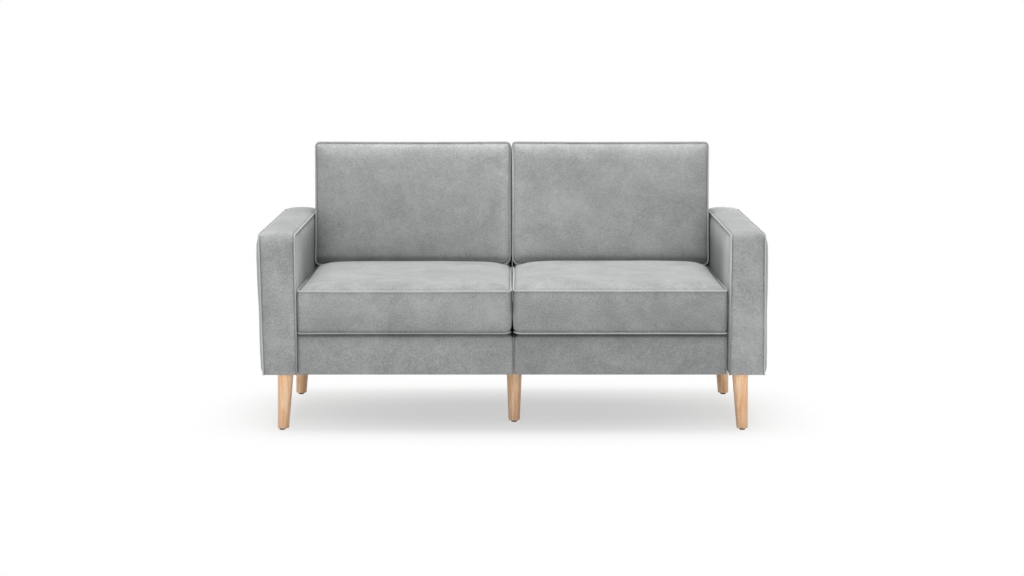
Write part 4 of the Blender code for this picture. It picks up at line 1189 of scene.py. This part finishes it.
# %% Seat bases
def base_cover(side, sign, seed):
    low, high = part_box("seat_base_cover_" + side)
    low, high = Vector(low), Vector(high)
    cover = gridded_block("seat_base_cover_soft_" + side, low, high)
    spots = points_of(cover)
    x, y, z = spots.T
    share_x = (x - low.x) / (high.x - low.x)
    share_z = (z - low.z) / (high.z - low.z)
    face = near(y, low.y)
    inner_x, outer_x = (low.x, high.x) if sign > 0 else (high.x, low.x)
    toward_middle = np.abs(x - outer_x) / (high.x - low.x)
    tone_base(cover, side, face, high.z - z, (1 - toward_middle) * (high.x - low.x))

    tops = [BASE_CORNERS["top_outer"], BASE_CORNERS["top_inner"]][::-sign]
    radii = (BASE_CORNERS["foot"], tops[0], BASE_CORNERS["foot"], tops[1])
    round_x, round_z = round_corners(x, z, (low.x, low.z), (high.x, high.z), radii)
    near_front = np.clip((y - low.y) / BASE_DEPTH_OF_ROUND, 0, 1)
    round_x = x + (round_x - x) * (1 - near_front)
    round_z = z + (round_z - z) * (1 - near_front)

    from_sides = np.minimum(x - low.x, high.x - x) * ROLL_TIGHTER_BESIDE
    from_rim = np.minimum(from_sides, np.minimum(high.z - z, (z - low.z) * ROLL_TIGHTER_BELOW))
    roll = BASE_ROLL * (1 - np.sqrt(np.clip(1 - (1 - np.clip(from_rim / BASE_ROLL, 0, 1)) ** 2, 0, 1)))
    roll = np.where(near(z, low.z) | (z - low.z < FOOT_BAND), roll * FOOT_ROLL_SHARE, roll)
    push = BASE_CROWN * bump_between(share_x, 0.5) * bump_between(share_z, 0.6) - BASE_CROWN
    push += drift(spots, BASE_WAVE_LENGTH, BASE_WAVE, seed) * bump_between(share_z, 1)
    round_y = np.where(face, y + roll - push, y)

    meeting = BASE_MEETING + sign * MEETING_GAP
    round_x += (meeting - inner_x) * toward_middle ** MEETING_POWER
    set_points(cover, np.stack([round_x, round_y, round_z], axis=1))
    subdivide_once(cover)
    cover.data.materials.append(cover_velvet)
    # the tops and the sides by the next base get the velvet copy that paints deep shade
    second_velvet(cover, deep_shade_velvet, lambda at, to: (to[2] > FACES_UP) | by_a_neighbour(at, to))
    return cover


for side, sign in SIDES.items():
    cover = base_cover(side, sign, BASE_SEED + sign)
    stands_for(cover, "seat_base_cover_" + side, "frame")


# %% Sizes of the backs
BACK_ROUND = 0.008
BACK_RIM = 0.003
BACK_WADDING = 0.0025
BACK_SETTLE = 0.001
BACK_WAVE = 0.001
BACK_WAVE_LENGTH = 0.15
# painted shade by the hole at the middle, above the seat
BACK_SHADE_HEIGHT = 0.04
BACK_SHADE_REACH = 0.010
BACK_SEED = 30


# %% Backs
def back_cover(side, sign, seed):
    low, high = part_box("back_cover_" + side)
    low, high = Vector(low), Vector(high)
    cover = gridded_block("back_cover_soft_" + side, low, high)
    spots = points_of(cover)
    x, y, z = spots.T
    round_x, round_z = round_corners(x, z, (low.x, low.z), (high.x, high.z), [BACK_ROUND] * 4)
    share_x = (x - low.x) / (high.x - low.x)
    share_z = (z - low.z) / (high.z - low.z)
    face = low.y + np.maximum(round_z - base_top, 0) * BACK_LEAN
    depth_share = (y - low.y) / (high.y - low.y)
    round_y = face + (high.y - face) * depth_share

    front, rear = near(y, low.y), near(y, high.y)
    swell = BACK_WADDING * bump_between(share_x, 0.4) * bump_between(share_z, 0.4)
    waves = drift(spots, BACK_WAVE_LENGTH, BACK_WAVE, seed)
    swell += waves * bump_between(share_x, 1) * bump_between(share_z, 1)
    round_y += np.where(rear, swell - BACK_SETTLE, 0)
    rim = near(x, low.x) | near(x, high.x) | near(z, high.z)
    round_y += np.where(rim & rear, -BACK_RIM, 0) + np.where(rim & front, BACK_RIM, 0)
    middle = near(x, low.x if sign > 0 else high.x) & (depth_share > 0.05) & (depth_share < 0.95)
    round_x = np.where(middle, sign * MEETING_GAP, round_x)

    # painted shade, next to black, by the hole at the middle above the seat
    back_hole_shade = crease_by(np.abs(x), BACK_SHADE_REACH) * (z < BACK_BOTTOM + BACK_SHADE_HEIGHT)
    tone_points(cover, "painted_shade", DEEP_SHADE * back_hole_shade)
    set_points(cover, np.stack([round_x, round_y, round_z], axis=1))
    subdivide_once(cover)
    cover.data.materials.append(cover_velvet)
    # the sides by the next back get the velvet copy that paints deep shade
    second_velvet(cover, deep_shade_velvet, by_a_neighbour)
    return cover


for side, sign in SIDES.items():
    cover = back_cover(side, sign, BACK_SEED + sign)
    stands_for(cover, "back_cover_" + side, "frame")


# %% [markdown]
# ## Legs
#
# Six turned beech legs, lacquered clear. A leg tapers evenly and splays 3 degrees outward,
# its foot edge is chamfered, and a plastic glide is tapped into it. On a lathe the profile
# is cut and then spun. Here a cone frustum gives the same surface, its foot rim gets a chamfer,
# and it is leaned by moving each slice sideways, so that top and foot stay level.

# %% Beech
GROWTH_STREAK = 0.0075
GROWTH_STRETCH = 0.045
FLECK = 0.0011
FLECK_STRETCH = 0.16
FLECK_DEPTH = 0.0003
GROWTH_SHARE = 0.75
FLECK_SHARE = 0.25
DARK_GRAIN = 0.36
LIGHT_GRAIN = 0.64


def beech(name):
    """Steamed beech, turned and lacquered: warm streaks, short flecks, and a soft shine."""
    made, tree = new_material(name)
    place = add_node(tree, "TexCoord").outputs["Object"]
    along = add_node(tree, "Mapping", {"Scale": (1, 1, GROWTH_STRETCH)}, {"Vector": place}).outputs[0]
    growth = speckle(tree, along, GROWTH_STREAK, detail=4, roughness=0.6, distortion=0.6)
    flecks_place = add_node(tree, "Mapping", {"Scale": (1, 1, FLECK_STRETCH)}, {"Vector": place}).outputs[0]
    flecks = speckle(tree, flecks_place, FLECK, detail=2)
    share = math_node(tree, "ADD", math_node(tree, "MULTIPLY", growth, GROWTH_SHARE),
                      math_node(tree, "MULTIPLY", flecks, FLECK_SHARE))
    share = add_node(tree, "MapRange", {"From Min": DARK_GRAIN, "From Max": LIGHT_GRAIN},
                     {"Value": share}).outputs[0]
    colour = mixed(tree, share, "#E2A26A", "#FEDFBA")
    bump = add_node(tree, "Bump", {"Strength": 0.12, "Distance": FLECK_DEPTH}, {"Height": flecks})
    finish_surface(tree, add_node(tree, "BsdfPrincipled", {
        "Roughness": 0.42, "IOR": 1.5, "Coat Weight": 0.25, "Coat Roughness": 0.3},
        {"Base Color": colour, "Normal": bump.outputs[0]}))
    return made


leg_beech = beech("clear_lacquered_beech")

# %% Turned legs
LEG_TOP_RADIUS = 0.0246
LEG_FOOT_RADIUS = 0.0174
LEG_SPLAY = math.tan(math.radians(3))
LEG_SIDES = 40
LEG_SLICES = (0.2, 0.4, 0.6, 0.8)
FOOT_CHAMFER = 0.0022
FOOT_RIM = 0.001
ROUND_ANGLE = math.radians(35)
LEG_NUDGE = {"front_left": 0.0032}  # this one is screwed in a little nearer the middle
LEGS = ("front_left", "front_right", "rear_left", "rear_right", "front_centre", "rear_centre")


def select_where(piece, test):
    """Selects the points of a mesh in edit mode by their place."""
    bpy.ops.object.mode_set(mode="OBJECT")
    bpy.ops.object.mode_set(mode="EDIT")
    bpy.ops.mesh.select_all(action="DESELECT")
    bpy.ops.object.mode_set(mode="OBJECT")
    for vertex in piece.data.vertices:
        vertex.select = test(vertex.co)
    bpy.ops.object.mode_set(mode="EDIT")


def turned_leg(name):
    low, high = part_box("leg_" + name)
    glide_low, glide_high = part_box("foot_glide_" + name)
    splay = {"left": -LEG_SPLAY, "right": LEG_SPLAY, "centre": 0}[name.split("_")[1]]
    height = high.z - low.z
    foot_x = (glide_low.x + glide_high.x) / 2
    top_x = foot_x - splay * height
    centre_y = (low.y + high.y) / 2
    bpy.ops.object.select_all(action="DESELECT")
    bpy.ops.mesh.primitive_cone_add(vertices=LEG_SIDES, radius1=LEG_FOOT_RADIUS, radius2=LEG_TOP_RADIUS,
                                    depth=height, location=(top_x, centre_y, (low.z + high.z) / 2))
    leg = bpy.context.object
    leg.name = "turned_leg_" + name
    bpy.ops.object.transform_apply(location=True)
    take(leg)
    select_where(leg, lambda place: place.z < low.z + FOOT_RIM)
    bpy.ops.mesh.bevel(offset=FOOT_CHAMFER, segments=2, affect="EDGES")
    bpy.ops.object.mode_set(mode="OBJECT")
    cut_rows(leg, Z, [low.z + height * share for share in LEG_SLICES])
    spots = points_of(leg)
    spots[:, 0] += (high.z - spots[:, 2]) * splay + LEG_NUDGE.get(name, 0)
    set_points(leg, spots)
    take(leg)
    bpy.ops.object.shade_smooth_by_angle(angle=ROUND_ANGLE)
    leg.data.materials.append(leg_beech)
    print_size(leg)
    return leg


for name in LEGS:
    stands_for(turned_leg(name), "leg_" + name, "frame")


# %% [markdown]
# ## Inner and lower pieces
#
# The frames, springs, webbing, foam, dust cloths, plates, bolts and glides are shown as they
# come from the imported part. Each could be left plain, since most are seen only from below
# or when a cushion is lifted out. But a bare grey part reads as unfinished there, so each
# gets the finish of its own material, with a pattern at its real size.

# %% Pine and foam
RING = 0.008
RING_STRETCH = 0.05
SAW_DEPTH = 0.0004
FOAM_CELL = 0.0015
CELL_DEPTH = 0.0006


def sawn_pine(name):
    """Pine, sawn and left rough: broad pale and dark bands along the rail, and no shine."""
    made, tree = new_material(name)
    place = add_node(tree, "TexCoord").outputs["Object"]
    along = add_node(tree, "Mapping", {"Scale": (RING_STRETCH, 1, 1)}, {"Vector": place}).outputs[0]
    rings = speckle(tree, along, RING, detail=4, distortion=0.8)
    colour = mixed(tree, rings, "#B98D5A", "#E3C391")
    bump = add_node(tree, "Bump", {"Strength": 0.3, "Distance": SAW_DEPTH}, {"Height": rings})
    finish_surface(tree, add_node(tree, "BsdfPrincipled", {"Roughness": 0.8},
                                  {"Base Color": colour, "Normal": bump.outputs[0]}))
    return made


def open_foam(name):
    """Cut polyurethane foam: creamy, quite matt, and pitted with open cells."""
    made, tree = new_material(name)
    place = add_node(tree, "TexCoord").outputs["Object"]
    cells = add_node(tree, "TexVoronoi", {"Scale": 1 / FOAM_CELL}, {"Vector": place}).outputs["Distance"]
    colour = mixed(tree, cells, "#CFC9AE", "#EDE8D2")
    bump = add_node(tree, "Bump", {"Strength": 0.5, "Distance": CELL_DEPTH}, {"Height": cells})
    finish_surface(tree, add_node(tree, "BsdfPrincipled", {"Roughness": 0.97},
                                  {"Base Color": colour, "Normal": bump.outputs[0]}))
    return made


# %% Dust cloth and webbing
BANDS_PER_UNIT = 0.31  # a wave texture at this scale has one band to the metre
THREAD_WAVER = 0.4
THREAD_DEPTH = 0.0003
DUST_CLOTH_THREAD = 0.0016
WEBBING_THREAD = 0.0022


def woven(name, dark, light, thread, sheen):
    """Plain weave, drawn by two crossed sets of bands: matt, with a dark dot at each crossing."""
    made, tree = new_material(name)
    place = add_node(tree, "TexCoord").outputs["Object"]
    warp, weft = [
        add_node(tree, "TexWave", {"bands_direction": direction, "Scale": BANDS_PER_UNIT / thread,
                                   "Distortion": THREAD_WAVER}, {"Vector": place}).outputs[1]
        for direction in ("X", "Y")]
    threads = math_node(tree, "MULTIPLY", math_node(tree, "ADD", warp, weft), 0.5)
    colour = mixed(tree, threads, dark, light)
    bump = add_node(tree, "Bump", {"Strength": 0.4, "Distance": THREAD_DEPTH}, {"Height": threads})
    finish_surface(tree, add_node(tree, "BsdfPrincipled", {"Roughness": 0.9, "Sheen Weight": sheen},
                                  {"Base Color": colour, "Normal": bump.outputs[0]}))
    return made


# %% Steel and plastic
SPANGLE = 0.004
SCUFF = 0.0012


def zinc_plated(name):
    """Steel, zinc-plated after forming: a pale grey metal with soft, uneven gloss."""
    made, tree = new_material(name)
    place = add_node(tree, "TexCoord").outputs["Object"]
    spangle = speckle(tree, place, SPANGLE, detail=2)
    colour = mixed(tree, spangle, "#B4B7B9", "#D3D6D8")
    rough = add_node(tree, "MapRange", {"To Min": 0.28, "To Max": 0.42}, {"Value": spangle}).outputs[0]
    finish_surface(tree, add_node(tree, "BsdfPrincipled", {"Metallic": 1.0},
                                  {"Base Color": colour, "Roughness": rough}))
    return made


def glide_plastic(name):
    """Moulded nylon: nearly black, with a dull shine that the floor has scuffed."""
    made, tree = new_material(name)
    place = add_node(tree, "TexCoord").outputs["Object"]
    scuff = speckle(tree, place, SCUFF, detail=3)
    colour = mixed(tree, scuff, "#1F2022", "#34363A")
    rough = add_node(tree, "MapRange", {"To Min": 0.45, "To Max": 0.65}, {"Value": scuff}).outputs[0]
    finish_surface(tree, add_node(tree, "BsdfPrincipled", {"IOR": 1.49},
                                  {"Base Color": colour, "Roughness": rough}))
    return made


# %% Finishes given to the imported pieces
FINISHES = (
    (("arm_frame_", "seat_frame_", "back_frame_"), sawn_pine("sawn_pine")),
    (("arm_foam_", "seat_deck_pad_", "back_foam_"), open_foam("open_cell_foam")),
    (("seat_dust_cover_",), woven("black_dust_cloth", "#17181A", "#2A2C2F", DUST_CLOTH_THREAD, 0.2)),
    (("back_webbing_",), woven("elastic_webbing", "#2C2926", "#5A544C", WEBBING_THREAD, 0.1)),
    (("seat_springs_", "leg_bolt_", "leg_plate_", "joining_plate_"), zinc_plated("zinc_plated_steel")),
    (("foot_glide_",), glide_plastic("dark_grey_nylon")),
)

for starts, finish in FINISHES:
    finished = [piece for name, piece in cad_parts.items() if name.startswith(starts)]
    for piece in finished:
        if not piece.material_slots:
            piece.data.materials.append(finish)
        for material_slot in piece.material_slots:
            material_slot.material = finish
    print(finish.name, "on", len(finished), "pieces")


# %% The closing call
bpy.ops.object.select_all(action="DESELECT")
